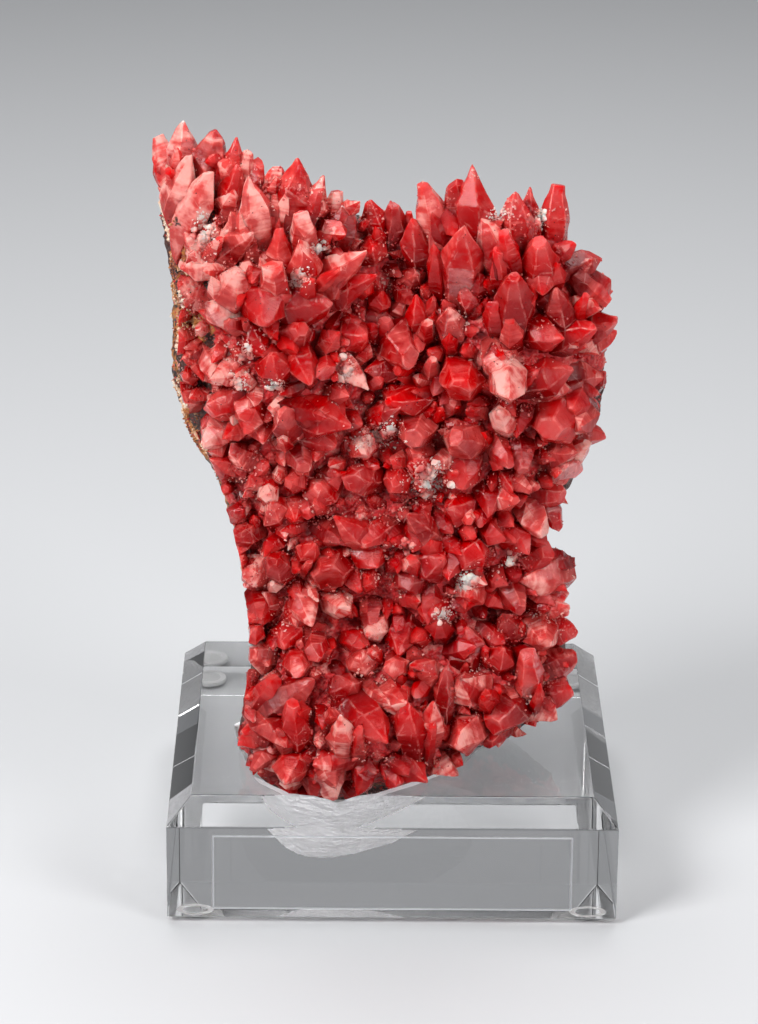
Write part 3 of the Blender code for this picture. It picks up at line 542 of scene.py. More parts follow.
@dataclass(frozen=True)
class CarvedAcrylic:
    """Acrylic as a rotary burr leaves it: frosted white, with close ripples, and a faint painted glow for the light
    that the polished block pipes in.
    """

    ripple_mm: float = 1.6

    def build(self) -> bpy.types.Material:
        """Returns the carved faces' material."""
        material, tree, shader = new_material("carved_acrylic")
        place = add_node(tree, "ShaderNodeTexCoord").outputs["Object"]
        scales = add_node(tree, "ShaderNodeMapping", {"Vector": place, "Scale": (0.7, 0.7, 1.5)}).outputs[0]
        cells = add_node(tree, "ShaderNodeTexVoronoi", {"Vector": scales, "Scale": 1.0 / (self.ripple_mm * MM)})
        heights = sums(tree, "MULTIPLY_ADD", grain(tree, 0.6, 2.0), 0.5, cells.outputs["Distance"])
        bump = add_node(tree, "ShaderNodeBump", {"Height": heights, "Strength": 1.0, "Distance": 0.8 * MM})
        # The white emission is painted light: a glow that stands in for the light the polished block pipes to the bowl.
        settle(
            tree, shader, Base_Color=linear("#FAF8FB"), Roughness=0.5, IOR=1.49, Transmission_Weight=0.04,
            Emission_Color=linear("#FFFFFF"), Emission_Strength=0.12,
            Normal=bump.outputs[0],
        )
        return material


@dataclass(frozen=True)
class EngravedAcrylic:
    """Acrylic where a fine cutter has run: a half-frosted grey-white line."""

    colour: str = "#D4D5D8"

    def build(self) -> bpy.types.Material:
        """Returns the border groove's material."""
        material, tree, shader = new_material("engraved_acrylic")
        settle(tree, shader, Base_Color=linear(self.colour), Roughness=0.35, IOR=1.49, Transmission_Weight=0.25)
        return material


@dataclass(frozen=True)
class BumperRubber:
    """Clear soft polyurethane, glossy and a little hazy."""

    def build(self) -> bpy.types.Material:
        """Returns the feet's material."""
        material, tree, shader = new_material("clear_polyurethane")
        settle(tree, shader, Base_Color=linear("#FFFFFF"), Roughness=0.1, IOR=1.5, Transmission_Weight=0.3)
        return material


@dataclass(frozen=True)
class StudioSweep:
    """Matt pale paper under the object."""

    colour: str = "#BDBEC0"

    def build(self) -> bpy.types.Material:
        """Returns the floor's material."""
        material, tree, shader = new_material("studio_paper")
        settle(tree, shader, Base_Color=linear(self.colour), Roughness=0.55)
        return material


@dataclass
class DisplayBlock:
    """The acrylic block: its body, its bevel, its engraved border and the seat carved into it."""

    width: float = 108.0
    height: float = 29.6
    bevel: float = 5.85
    bottom: float = 1.5
    border_half_width: float = 42.9
    border_low: float = 2.5
    border_high: float = 21.5
    line_width: float = 0.42
    line_depth: float = 0.25
    seat_centre: tuple[float, float] = (-18.0, -26.0)
    seat_depth: float = 20.0
    seat_rings: tuple[tuple[float, float], ...] = ((0.0, 1.0), (0.3, 0.93), (0.65, 0.74), (0.9, 0.5), (1.0, 0.34))
    seat_lip: float = 4.0
    seat_reach: float = 30.0
    clearance: float = 0.35
    rim_shown: float = 2.2
    edge_softness: float = 0.25

    @property
    def top(self) -> float:
        """Height of the block's top face."""
        return self.bottom + self.height

    def body(self, grown: float = 0.0) -> bmesh.types.BMesh:
        """Makes the bevelled block, or the same grown all round.

        Args:
            grown: How far every face is moved outwards.

        Returns:
            The block's mesh in millimetres.
        """
        low, high, width = self.bottom - grown, self.top + grown, self.width + 2.0 * grown
        bm = bmesh.new()
        bmesh.ops.create_cube(bm, size=1.0)
        bmesh.ops.scale(bm, vec=(width, width, high - low), verts=bm.verts)
        bmesh.ops.translate(bm, vec=(0.0, 0.0, (low + high) / 2.0), verts=bm.verts)
        top = [edge for edge in bm.edges if all(vertex.co.z > high - 1.0 for vertex in edge.verts)]
        bmesh.ops.bevel(bm, geom=top, offset=self.bevel, segments=1, affect="EDGES", profile=0.5, material=-1)
        if not grown:
            bmesh.ops.bevel(
                bm, geom=bm.edges, offset=self.edge_softness, segments=2, affect="EDGES", profile=0.5, material=-1
            )
        return bm

    def seat(self, shrunk: float = 0.0, smooth: bool = False) -> bmesh.types.BMesh:
        """Makes the bowl that is carved out, or the same drawn in by a clearance.

        Args:
            shrunk: How far its walls are drawn in.
            smooth: Whether it gets the burr's fine rings and ripples.

        Returns:
            The bowl's mesh in millimetres.
        """
        bm = bmesh.new()
        centre = Vector((*self.seat_centre, 0.0))
        middle = Matrix.Translation(-centre)
        ring = bm.faces.new([bm.verts.new((x, y, self.top + self.seat_lip)) for x, y in SEAT_RIM])
        fit = 1.0 - 2.0 * shrunk / self.seat_reach
        bmesh.ops.scale(bm, vec=(fit, fit, 1.0), space=middle, verts=bm.verts)
        level, reach = self.top + self.seat_lip, 1.0
        for depth, share in self.seat_rings:
            sides = bmesh.ops.extrude_face_region(bm, geom=[ring])
            lower = [item for item in sides["geom"] if isinstance(item, bmesh.types.BMVert)]
            if level < self.top + self.seat_lip:
                bmesh.ops.delete(bm, geom=[ring], context="FACES_ONLY")
            ring = next(item for item in sides["geom"] if isinstance(item, bmesh.types.BMFace))
            sink = self.top + shrunk - self.seat_depth * depth - level
            bmesh.ops.translate(bm, vec=(0.0, 0.0, sink), verts=lower)
            bmesh.ops.scale(bm, vec=(share / reach, share / reach, 1.0), space=middle, verts=lower)
            level, reach = level + sink, share
        bmesh.ops.triangulate(bm, faces=bm.faces)
        if smooth:
            self.ripple(bm)
        return bm

    def ripple(self, bm: bmesh.types.BMesh) -> None:
        """Gives the bowl the soft form and the fine scallops that a burr leaves.

        Args:
            bm: The bowl's mesh, changed in place.
        """
        for _ in range(3):
            bmesh.ops.subdivide_edges(bm, edges=bm.edges, cuts=1, use_grid_fill=True)
        bmesh.ops.triangulate(bm, faces=bm.faces)
        bm.normal_update()
        for vertex in bm.verts:
            if vertex.co.z < self.top + 1.0:
                scallop = 0.5 + 0.5 * noise.noise(Vector((vertex.co.x * 0.55, vertex.co.y * 0.55, vertex.co.z * 1.3)))
                vertex.co += vertex.normal * (0.1 + 0.45 * scallop)

    def engrave(self, bm: bmesh.types.BMesh) -> None:
        """Sinks the thin border line into the front face.

        Args:
            bm: The block's mesh, changed in place.
        """
        carved = bm.faces.layers.float.new(Layer.CARVED.value)
        bm.normal_update()
        front = max((face for face in bm.faces if face.normal.y < -0.99), key=lambda face: face.calc_area())
        bmesh.ops.inset_individual(bm, faces=[front], thickness=self.line_width)
        half = self.border_half_width + self.line_width / 2.0
        middle = self.bottom + (self.border_low + self.border_high) / 2.0
        reach = (self.border_high - self.border_low + self.line_width) / 2.0
        for vertex in front.verts:
            vertex.co.x = math.copysign(half, vertex.co.x)
            vertex.co.z = middle + math.copysign(reach, vertex.co.z - middle)
        ring = bmesh.ops.inset_individual(bm, faces=[front], thickness=self.line_width, use_even_offset=True)["faces"]
        sunk = bmesh.ops.extrude_face_region(bm, geom=ring)
        bmesh.ops.delete(bm, geom=ring, context="FACES")
        floor = [item for item in sunk["geom"] if isinstance(item, bmesh.types.BMVert)]
        bmesh.ops.translate(bm, verts=floor, vec=(0.0, self.line_depth, 0.0))
        for face in {face for vertex in floor for face in vertex.link_faces}:
            face[carved] = 0.5

    def build(self, workshop: Workshop) -> bpy.types.Object:
        """Makes the finished block.

        Args:
            workshop: Where meshes become objects.

        Returns:
            The block, with polished and carved faces.
        """
        body = self.body()
        self.engrave(body)
        block = workshop.guide("acrylic_block", body)
        bowl = self.seat(smooth=True)
        carved = bowl.faces.layers.float.new(Layer.CARVED.value)
        for face in bowl.faces:
            face[carved] = 1.0
        workshop.cut(block, workshop.guide("bowl", bowl))
        finishes = [PolishedAcrylic().build(), CarvedAcrylic().build(), EngravedAcrylic().build()]
        workshop.finish(block, finishes, "acrylic_base")
        carved = block.data.attributes.get(Layer.CARVED.value)
        for polygon in block.data.polygons:
            share = carved.data[polygon.index].value
            polygon.material_index = 1 if share > 0.7 else 2 if share > 0.2 else 0
            polygon.use_smooth = share > 0.7
        return block


@dataclass
class Workshop:
    """Turns meshes in millimetres into finished pieces that ride with the CAD."""

    shift: Vector
    guides: bpy.types.Collection

    def guide(self, name: str, bm: bmesh.types.BMesh, collection: bpy.types.Collection | None = None) -> bpy.types.Object:
        """Makes an object of a mesh in millimetres.

        Args:
            name: Object name.
            bm: Its mesh, which is freed.
            collection: Where it goes, or the guides when left out.

        Returns:
            The object, in metres.
        """
        bmesh.ops.recalc_face_normals(bm, faces=bm.faces)
        mesh = bpy.data.meshes.new(name)
        bm.to_mesh(mesh)
        bm.free()
        mesh.transform(Matrix.Scale(MM, 4))
        thing = bpy.data.objects.new(name, mesh)
        (collection or self.guides).objects.link(thing)
        return thing

    def bake(self, thing: bpy.types.Object) -> None:
        """Keeps what an object's modifiers make of it as its own mesh.

        Args:
            thing: The object.
        """
        graph = bpy.context.evaluated_depsgraph_get()
        mesh = bpy.data.meshes.new_from_object(thing.evaluated_get(graph))
        thing.modifiers.clear()
        thing.data = mesh

    def cut(self, thing: bpy.types.Object, cutter, solver: str = "MANIFOLD", operation: str = "DIFFERENCE") -> None:
        """Cuts an object by another, or joins it with a collection of them, for good.

        Args:
            thing: The object that changes.
            cutter: An object, or a collection.
            solver: Blender's Boolean solver.
            operation: DIFFERENCE or UNION.
        """
        modifier = thing.modifiers.new("Boolean", "BOOLEAN")
        modifier.operation = operation
        modifier.solver = solver
        if isinstance(cutter, bpy.types.Collection):
            modifier.operand_type = "COLLECTION"
            modifier.collection = cutter
        else:
            modifier.object = cutter
        self.bake(thing)

    def finish(self, thing: bpy.types.Object, finishes: list[bpy.types.Material], node: str) -> bpy.types.Object:
        """Dresses a piece, moves it to its place and puts it on the body.

        Args:
            thing: The piece.
            finishes: Its materials in slot order.
            node: CAD node that it stands for.

        Returns:
            The same piece.
        """
        thing.data.transform(Matrix.Translation(self.shift * MM))
        thing.data.materials.clear()
        for material in finishes:
            thing.data.materials.append(material)
        for collection in list(thing.users_collection):
            collection.objects.unlink(thing)
        bpy.context.scene.collection.objects.link(thing)
        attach(thing, "root")
        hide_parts(node)
        LOG.info("%s: %d faces", thing.name, len(thing.data.polygons))
        return thing


@dataclass(frozen=True)
class CrystalFace:
    """The lie of the crystal-covered front: where a place on it is in space, and which way it looks."""

    viewpoint: tuple[float, float, float] = (-11.4, -912.0, 427.0)
    depth_at_foot: float = -36.8
    lean: float = 0.06
    bow: float = 0.0040
    bow_centre: float = -10.0
    bottom: float = 1.5
    sink: float = 5.0

    def depth(self, x: float, z: float) -> float:
        """Returns the Y of the face where it shows at (x, z)."""
        depth = self.depth_at_foot + self.lean * z + self.bow * (x - self.bow_centre) ** 2
        for lobe_x, lobe_z, amount, reach_x, reach_z in LOBES:
            depth += amount * math.exp(-(((x - lobe_x) / reach_x) ** 2) - ((z - lobe_z) / reach_z) ** 2)
        return depth

    def place(self, x: float, z: float, behind: float) -> Vector:
        """Returns the place of a point that shows at (x, z) and lies behind the face."""
        spot = Vector((x, self.depth(x, z), z))
        sight = spot - Vector(self.viewpoint)
        spot += sight * (behind / sight.y)
        spot.z += self.bottom
        return spot

    def on_sight_line(self, x: float, z: float, y: float) -> Vector:
        """Returns where the sight line to a place on the face crosses a given Y."""
        spot = self.place(x, z, 0.0)
        sight = spot - Vector(self.viewpoint)
        return spot + sight * ((y - spot.y) / sight.y)

    def normal(self, x: float, z: float) -> Vector:
        """Returns which way the face looks at a place."""
        step = 2.0
        slope_x = (self.depth(x + step, z) - self.depth(x - step, z)) / (2.0 * step)
        slope_z = (self.depth(x, z + step) - self.depth(x, z - step)) / (2.0 * step)
        return Vector((slope_x, -1.0, slope_z)).normalized()

    def overhang(self, spot: Vector) -> float:
        """Returns how far outside the crust's outline a point shows, or 0 within it."""
        x, z = spot.x, spot.z - self.bottom
        for _ in range(3):
            behind = spot.y - self.depth(x, z)
            sight = self.place(x, z, 0.0) - Vector(self.viewpoint)
            x, z = spot.x - sight.x / sight.y * behind, spot.z - self.bottom - sight.z / sight.y * behind
        distance, inside = self.outline_distance(x, z)
        return 0.0 if inside else distance

    def outline_distance(self, x: float, z: float) -> tuple[float, bool]:
        """Finds how far a place is from the crust's outline.

        Args:
            x: Sideways place.
            z: Height at which it shows.

        Returns:
            The distance, and whether the place is within the outline.
        """
        nearest, inside, spot = 1000.0, False, Vector((x, z))
        for index, corner in enumerate(CRUST_OUTLINE):
            start, end = Vector(CRUST_OUTLINE[index - 1]), Vector(corner)
            along = end - start
            share = max(0.0, min(1.0, (spot - start).dot(along) / along.length_squared))
            nearest = min(nearest, (spot - start - along * share).length)
            if (start.y > z) != (end.y > z) and x < start.x + along.x * (z - start.y) / along.y:
                inside = not inside
        return nearest, inside


@dataclass
class Tooth:
    """One scalenohedral crystal: a tapering root, a zigzag belly and a point that may be cut off."""

    root: Vector
    tip: Vector
    width: float
    blunt: float
    roll: float
    milk: float = 0.3
    rounding: float = 0.0
    root_sink: float = 4.5
    belly: float = 0.52
    zigzag: float = 0.09
    root_taper: float = 0.80
    narrow_corner: float = 0.84
    low_face: float = 0.12
    moodiness: float = 0.34

    @property
    def length(self) -> float:
        """Length from the buried end to the tip."""
        return (self.tip - self.root).length + self.root_sink

    @property
    def start(self) -> Vector:
        """Place of the buried end."""
        return self.root - (self.tip - self.root).normalized() * self.root_sink

    def rise(self, spot: Vector) -> float:
        """Returns how far up the crystal a place is: 0 where it leaves the rock and 1 at the tip."""
        axis = self.tip - self.root
        return max(0.0, min(1.0, (spot - self.root).dot(axis) / axis.length_squared))

    def mesh(self, number: int) -> bmesh.types.BMesh:
        """Makes the crystal.

        Args:
            number: Kept on its faces, to know them by after the crystals are joined.

        Returns:
            Its closed mesh in millimetres.
        """
        length, belly = self.length, self.belly * self.length
        dice = random.Random(number)
        bm = bmesh.new()
        bmesh.ops.create_cone(
            bm, cap_ends=True, segments=6, radius1=self.width / 2.0, radius2=self.width / 2.0 * self.blunt,
            depth=length - belly,
        )
        bmesh.ops.translate(bm, verts=bm.verts, vec=(0.0, 0.0, belly + (length - belly) / 2.0))
        base = min(bm.faces, key=lambda face: face.calc_center_median().z)
        sides = bmesh.ops.extrude_face_region(bm, geom=[base])
        bmesh.ops.delete(bm, geom=[base], context="FACES_ONLY")
        root_ring = [item for item in sides["geom"] if isinstance(item, bmesh.types.BMVert)]
        bmesh.ops.translate(bm, verts=root_ring, vec=(0.0, 0.0, -belly))
        bmesh.ops.scale(bm, verts=root_ring, vec=(self.root_taper, self.root_taper, 1.0))
        for vertex in bm.verts:
            narrow = round(math.atan2(vertex.co.y, vertex.co.x) / math.radians(60.0)) % 2 == 0
            if narrow:
                vertex.co.xy *= self.narrow_corner
            if abs(vertex.co.z - belly) < 0.01:
                vertex.co.z += length * self.zigzag * (1.0 if narrow else -1.0)
            vertex.co.xy *= dice.uniform(0.9, 1.1)
        bmesh.ops.remove_doubles(bm, verts=bm.verts, dist=0.0001)
        self.cut_tip(bm, dice)
        in_order(bm)
        crystal = bm.faces.layers.float.new(Layer.CRYSTAL.value)
        chip_and_glint = bm.faces.layers.float.new(Layer.CHIP_AND_GLINT.value)
        mood = bm.faces.layers.float.new(Layer.MOOD.value)
        for face in bm.faces:
            face[mood] = dice.uniform(-self.moodiness, self.moodiness)
        if self.rounding:
            # The bevel's faces are marked for the material to paint pale: worn frosting and painted glints.
            wear_and_glint = bmesh.ops.bevel(
                bm, geom=bm.edges, offset=self.rounding, segments=1, affect="EDGES", profile=0.5, material=-1
            )
            for face in wear_and_glint["faces"]:
                face[chip_and_glint] = 1.0
            in_order(bm)
        for face in bm.faces:
            face[crystal] = float(number)
        axis = self.tip - self.root
        turn = axis.to_track_quat("Z", "Y").to_matrix().to_4x4() @ Matrix.Rotation(self.roll, 4, "Z")
        bmesh.ops.transform(bm, matrix=Matrix.Translation(self.start) @ turn, verts=bm.verts)
        return bm


    def cut_tip(self, bm: bmesh.types.BMesh, dice: random.Random) -> None:
        """Gives the point its three low faces, none of them quite alike.

        Args:
            bm: The crystal standing on Z = 0, changed in place.
            dice: Source of randomness.
        """
        start = dice.uniform(0.0, math.tau)
        for side in range(dice.choice((0, 1, 2, 3))):
            turn = start + side * math.tau / 3.0 + dice.uniform(-0.25, 0.25)
            tilt = math.radians(dice.uniform(34.0, 54.0))
            height = self.length * (1.0 - self.low_face * dice.uniform(0.1, 1.0) ** 1.5)
            normal = Vector((math.sin(tilt) * math.cos(turn), math.sin(tilt) * math.sin(turn), math.cos(tilt)))
            geometry = list(bm.verts) + list(bm.edges) + list(bm.faces)
            made = bmesh.ops.bisect_plane(
                bm, geom=geometry, dist=0.0001, plane_co=(0.0, 0.0, height), plane_no=normal, clear_outer=True
            )
            rim = [item for item in made["geom_cut"] if isinstance(item, bmesh.types.BMEdge)]
            bmesh.ops.edgeloop_fill(bm, edges=rim)


@dataclass
class Grains:
    """A heap of tiny pointed grains, gathered in small batches because operators slow down on a large mesh."""

    batch: bmesh.types.BMesh = field(default_factory=bmesh.new)
    heap: bmesh.types.BMesh = field(default_factory=bmesh.new)
    batch_size: int = 900

    def add(self, spot: Vector, lean: Vector, size: float, dice: random.Random) -> None:
        """Adds one grain.

        Args:
            spot: Its middle.
            lean: Which way it points.
            size: Its radius.
            dice: Source of randomness.
        """
        turn = lean.to_track_quat("Z", "Y").to_matrix().to_4x4() @ Matrix.Rotation(dice.uniform(0.0, 6.28), 4, "Z")
        bmesh.ops.create_cone(
            self.batch, cap_ends=True, segments=dice.choice((3, 4, 5)), radius1=size,
            radius2=size * dice.uniform(0.0, 0.6), depth=size * dice.uniform(1.4, 2.8),
            matrix=Matrix.Translation(spot) @ turn,
        )
        if len(self.batch.verts) > self.batch_size:
            self.empty_batch()

    def mound(self, spot: Vector, lean: Vector, size: float, dice: random.Random) -> None:
        """Adds one low lumpy mound.

        Args:
            spot: Its middle.
            lean: Which way it bulges.
            size: Its radius.
            dice: Source of randomness.
        """
        turn = lean.to_track_quat("Z", "Y").to_matrix().to_4x4()
        flat = Matrix.Diagonal((size, size * dice.uniform(0.7, 1.2), size * dice.uniform(0.4, 0.7), 1.0))
        made = bmesh.ops.create_icosphere(self.batch, subdivisions=3, radius=1.0, matrix=Matrix.Translation(spot) @ turn @ flat)
        for vertex in made["verts"]:
            lump = noise.noise(vertex.co * 1.3) * 0.5 + noise.noise(vertex.co * 3.1) * 0.25
            vertex.co += (vertex.co - spot) * lump
        self.empty_batch()

    def empty_batch(self) -> None:
        """Moves the batch to the heap."""
        carrier = bpy.data.meshes.new("batch")
        self.batch.to_mesh(carrier)
        self.heap.from_mesh(carrier)
        bpy.data.meshes.remove(carrier)
        self.batch.clear()

    def gathered(self) -> bmesh.types.BMesh:
        """Returns all the grains as one mesh."""
        self.empty_batch()
        self.batch.free()
        return self.heap


@dataclass
class Specimen:
    """The crystal cluster and the rock that it grows on."""

    face: CrystalFace = field(default_factory=CrystalFace)
    slab_depth: float = 20.0
    voxel: float = 1.25
    rounding: float = 7.0
    thickness_top: float = 26.0
    thickness_foot: float = 44.0
    overhang_thinning: float = 0.55
    back_narrowing: float = 0.30
    back_centre: float = -5.0
    back_level: float = 90.0
    back_roughness: float = 3.2
    face_roughness: float = 0.9
    fill_count: int = 60
    fill_spacing: float = 7.8
    fill_margin: float = 3.0
    fill_tilt: float = math.radians(32.0)
    fill_seed: int = 11
    blunt_least: float = 0.22
    small_seed: int = 23
    flank_reach: float = -43.0
    most_overhang: float = 3.4
    sugar_tries: int = 20000

    def chosen(self, dice: random.Random) -> list[Tooth]:
        """Returns the crystals listed in CRYSTALS."""
        found = []
        for tip_x, tip_z, root_x, root_z, height, width, blunt in CRYSTALS:
            tip = self.face.place(tip_x, tip_z, self.face.sink - height)
            root = self.face.place(root_x, root_z, self.face.sink + 1.0)
            found.append(Tooth(root, tip, width, blunt if blunt > self.blunt_least else 0.0, dice.uniform(0.0, 6.28)))
        return found

    def filling(self, dice: random.Random, taken: list[Tooth]) -> list[Tooth]:
        """Returns the other large crystals, clear of those already there."""
        spots = [(tooth.root + tooth.tip) / 2.0 for tooth in taken]
        found = []
        for _ in range(6000):
            x, z = dice.uniform(-57.0, 52.0), dice.uniform(24.0, 184.0)
            edge, inside = self.face.outline_distance(x, z)
            spot = self.face.place(x, z, self.face.sink - 4.0)
            clear = all((spot - other).length > self.fill_spacing for other in spots)
            if not inside or edge < self.fill_margin or not clear:
                continue
            spots.append(spot)
            outwards = Vector((x - self.face.bow_centre, 0.0, z - 100.0)) * 0.006
            tilt = Vector((dice.gauss(0.0, 1.0), 0.0, dice.gauss(0.0, 1.0))) * math.tan(self.fill_tilt) * 0.7
            direction = (self.face.normal(x, z) + outwards + tilt).normalized()
            root = self.face.place(x, z, self.face.sink + 1.0)
            tip = root + direction * dice.uniform(7.0, 11.5)
            blunt = dice.choice((0.0, 0.0, 0.0, 0.35))
            found.append(Tooth(root, tip, dice.uniform(8.0, 11.5), blunt, dice.uniform(0.0, 6.28)))
            if len(found) == self.fill_count:
                break
        return found

    def small(self, dice: random.Random) -> list[Tooth]:
        """Returns the fine crystals that crowd between the large ones.

        Args:
            dice: Source of randomness.

        Returns:
            Crystals 2 to 6 mm wide all over the face and along its edges.
        """
        found = []
        cells: dict[tuple[int, int], list[Vector]] = {}
        spacing = 3.8
        for _ in range(26000):
            x, z = dice.uniform(-58.0, 53.0), dice.uniform(23.0, 186.0)
            edge, inside = self.face.outline_distance(x, z)
            if not inside:
                continue
            key = (int(x // spacing), int(z // spacing))
            near = [
                spot for i in (-1, 0, 1) for j in (-1, 0, 1) for spot in cells.get((key[0] + i, key[1] + j), [])
            ]
            if any((Vector((x, z)) - spot).length < spacing for spot in near):
                continue
            cells.setdefault(key, []).append(Vector((x, z)))
            outwards = Vector((x - self.face.bow_centre, 0.0, z - 100.0)) * 0.008
            tilt = Vector((dice.gauss(0.0, 0.6), 0.0, dice.gauss(0.0, 0.6)))
            direction = (self.face.normal(x, z) + outwards + tilt).normalized()
            root = self.face.place(x, z, self.face.sink + 0.5)
            size = dice.uniform(0.0, 1.0) ** 1.6
            tip = root + direction * (3.8 + 5.6 * size)
            blunt = dice.choice((0.0, 0.0, 0.0, 0.35))
            tooth = Tooth(root, tip, 3.4 + 4.2 * size, blunt, dice.uniform(0.0, 6.28), root_sink=2.0)
            found.append(tooth)
        return found

    def offshoots(self, dice: random.Random, main: list[Tooth]) -> list[Tooth]:
        """Returns crystals that grow side by side with the large ones, nearly parallel to them.

        Args:
            dice: Source of randomness.
            main: The large crystals.

        Returns:
            One to three lesser crystals beside most of them.
        """
        found = []
        for tooth in main:
            axis = (tooth.tip - tooth.root).normalized()
            for _ in range(dice.choice((0, 1, 1, 2, 3))):
                side = axis.orthogonal().normalized()
                side.rotate(Matrix.Rotation(dice.uniform(0.0, 6.28), 3, axis))
                lean = (axis + side * dice.uniform(0.05, 0.35)).normalized()
                share = dice.uniform(0.45, 0.8)
                root = tooth.root + side * tooth.width * dice.uniform(0.25, 0.42)
                tip = root + lean * (tooth.tip - tooth.root).length * share
                width = tooth.width * dice.uniform(0.4, 0.65)
                found.append(Tooth(root, tip, width, dice.choice((0.0, 0.0, 0.4)), tooth.roll))
        return found

    def all_teeth(self) -> list[Tooth]:
        """Returns every crystal, with how cloudy and how worn each one is."""
        dice = random.Random(self.fill_seed)
        main = self.chosen(dice)
        main += self.filling(dice, main)
        dice = random.Random(self.small_seed)
        for tooth in main:
            tooth.rounding = 0.022 * tooth.width
        lesser = self.offshoots(dice, main) + self.small(dice)
        teeth = main + [tooth for tooth in lesser if self.face.overhang(tooth.tip) < self.most_overhang]
        for tooth in teeth:
            tooth.milk = self.milk_at(tooth.tip, dice)
        return teeth

    def milk_at(self, spot: Vector, dice: random.Random) -> float:
        """Returns how cloudy a crystal with its tip at a place is."""
        milk = dice.betavariate(0.8, 1.6)
        for x, z, amount, reach_x, reach_z in CLOUDINESS:
            milk += amount * math.exp(-(((spot.x - x) / reach_x) ** 2) - ((spot.z - z) / reach_z) ** 2)
        return min(1.0, max(0.0, milk))

    def thickness(self, x: float, z: float) -> float:
        """Returns how far the rock reaches back behind the crystal face."""
        share = min(1.0, max(0.0, (180.0 - z) / 90.0))
        full = self.thickness_top + (self.thickness_foot - self.thickness_top) * share
        overhang = math.exp(-(((x - 38.0) / 18.0) ** 2) - ((z - 46.0) / 18.0) ** 2)
        return full * (1.0 - self.overhang_thinning * overhang)

    def shaped_rock(self, spot: Vector) -> Vector:
        """Returns where a point of the flat slab ends up on the rock."""
        x, z = spot.x, spot.z
        share = min(1.0, max(0.0, spot.y / self.slab_depth + 0.5))
        edge, _ = self.face.outline_distance(x, z)
        rounding = self.rounding * max(0.0, 1.0 - edge / self.rounding) ** 2
        behind = self.face.sink + rounding * (1.0 - share) + (self.thickness(x, z) - rounding) * share
        spot = self.face.place(x, z, behind)
        narrowing = self.back_narrowing * share * share
        spot.x += (self.back_centre - spot.x) * narrowing
        spot.z += min(0.0, self.back_level - spot.z) * narrowing * 0.5
        roughness = self.face_roughness + (self.back_roughness - self.face_roughness) * share
        coarse = noise.noise_vector(spot * 0.075) * 1.6
        fine = noise.noise_vector(spot * 0.19)
        return spot + (coarse + fine) * roughness

    def rock(self, workshop: Workshop, keep_out: bpy.types.Object, seat_edge: bpy.types.Object) -> bpy.types.Object:
        """Makes the rock plate behind the crystals.

        Args:
            workshop: Where meshes become objects.
            keep_out: The block with its seat, grown by the clearance.
            seat_edge: What keeps the rock off the seat's rim, so that the carved edge shows beside it.

        Returns:
            The rock.
        """
        bm = bmesh.new()
        front = bm.faces.new([bm.verts.new((x, -self.slab_depth / 2.0, z)) for x, z in CRUST_OUTLINE])
        walls = bmesh.ops.extrude_face_region(bm, geom=[front])
        back = [item for item in walls["geom"] if isinstance(item, bmesh.types.BMVert)]
        bmesh.ops.translate(bm, verts=back, vec=(0.0, self.slab_depth, 0.0))
        rock = workshop.guide("host_rock", bm)
        remesh = rock.modifiers.new("Remesh", "REMESH")
        remesh.mode = "VOXEL"
        remesh.voxel_size = self.voxel * MM
        workshop.bake(rock)
        for vertex in rock.data.vertices:
            vertex.co = self.shaped_rock(vertex.co / MM) * MM
        workshop.cut(rock, workshop.guide("rock_flank", self.flank(-1.2, 0.4)))
        remesh = rock.modifiers.new("Remesh", "REMESH")
        remesh.mode = "VOXEL"
        remesh.voxel_size = self.voxel * MM
        workshop.bake(rock)
        for vertex in rock.data.vertices:
            spot = vertex.co / MM
            crumbs = noise.noise_vector(spot * 0.45) * 0.7 + noise.noise_vector(spot * 1.1) * 0.45
            vertex.co += crumbs * MM
        workshop.cut(rock, keep_out)
        workshop.cut(rock, seat_edge)
        self.write_cover(rock)
        return rock

    def write_cover(self, rock: bpy.types.Object) -> None:
        """Writes how much of the rock is under the red skin: its front is, its sides and back aren't.

        Args:
            rock: The finished rock.
        """
        facts = rock.data.color_attributes.new(Layer.FACTS.value, "FLOAT_COLOR", "POINT")
        for vertex, fact in zip(rock.data.vertices, facts.data):
            spot = vertex.co / MM
            behind = spot.y - self.face.depth(spot.x, spot.z)
            cover = min(1.0, max(0.0, (14.0 - behind) / 8.0))
            if spot.x < self.flank_reach and spot.z > 100.0:
                cover = 0.0
            fact.color = (cover, cover, cover, 1.0)

    def crystals(self, workshop: Workshop, keep_out: bpy.types.Object) -> bpy.types.Object:
        """Makes all the crystals as one joined body.

        Args:
            workshop: Where meshes become objects.
            keep_out: The block with its seat, grown by the clearance.

        Returns:
            The crystals.
        """
        teeth = self.all_teeth()
        group = bpy.data.collections.new("teeth")
        workshop.guides.children.link(group)
        first, *others = [
            workshop.guide(f"tooth_{number}", tooth.mesh(number), group) for number, tooth in enumerate(teeth)
        ]
        group.objects.unlink(first)
        workshop.guides.objects.link(first)
        first.name = "crystals"
        workshop.cut(first, group, operation="UNION")
        workshop.cut(first, keep_out)
        workshop.cut(first, workshop.guide("flank", self.flank()))
        self.weather(first)
        self.write_facts(first, teeth)
        return first

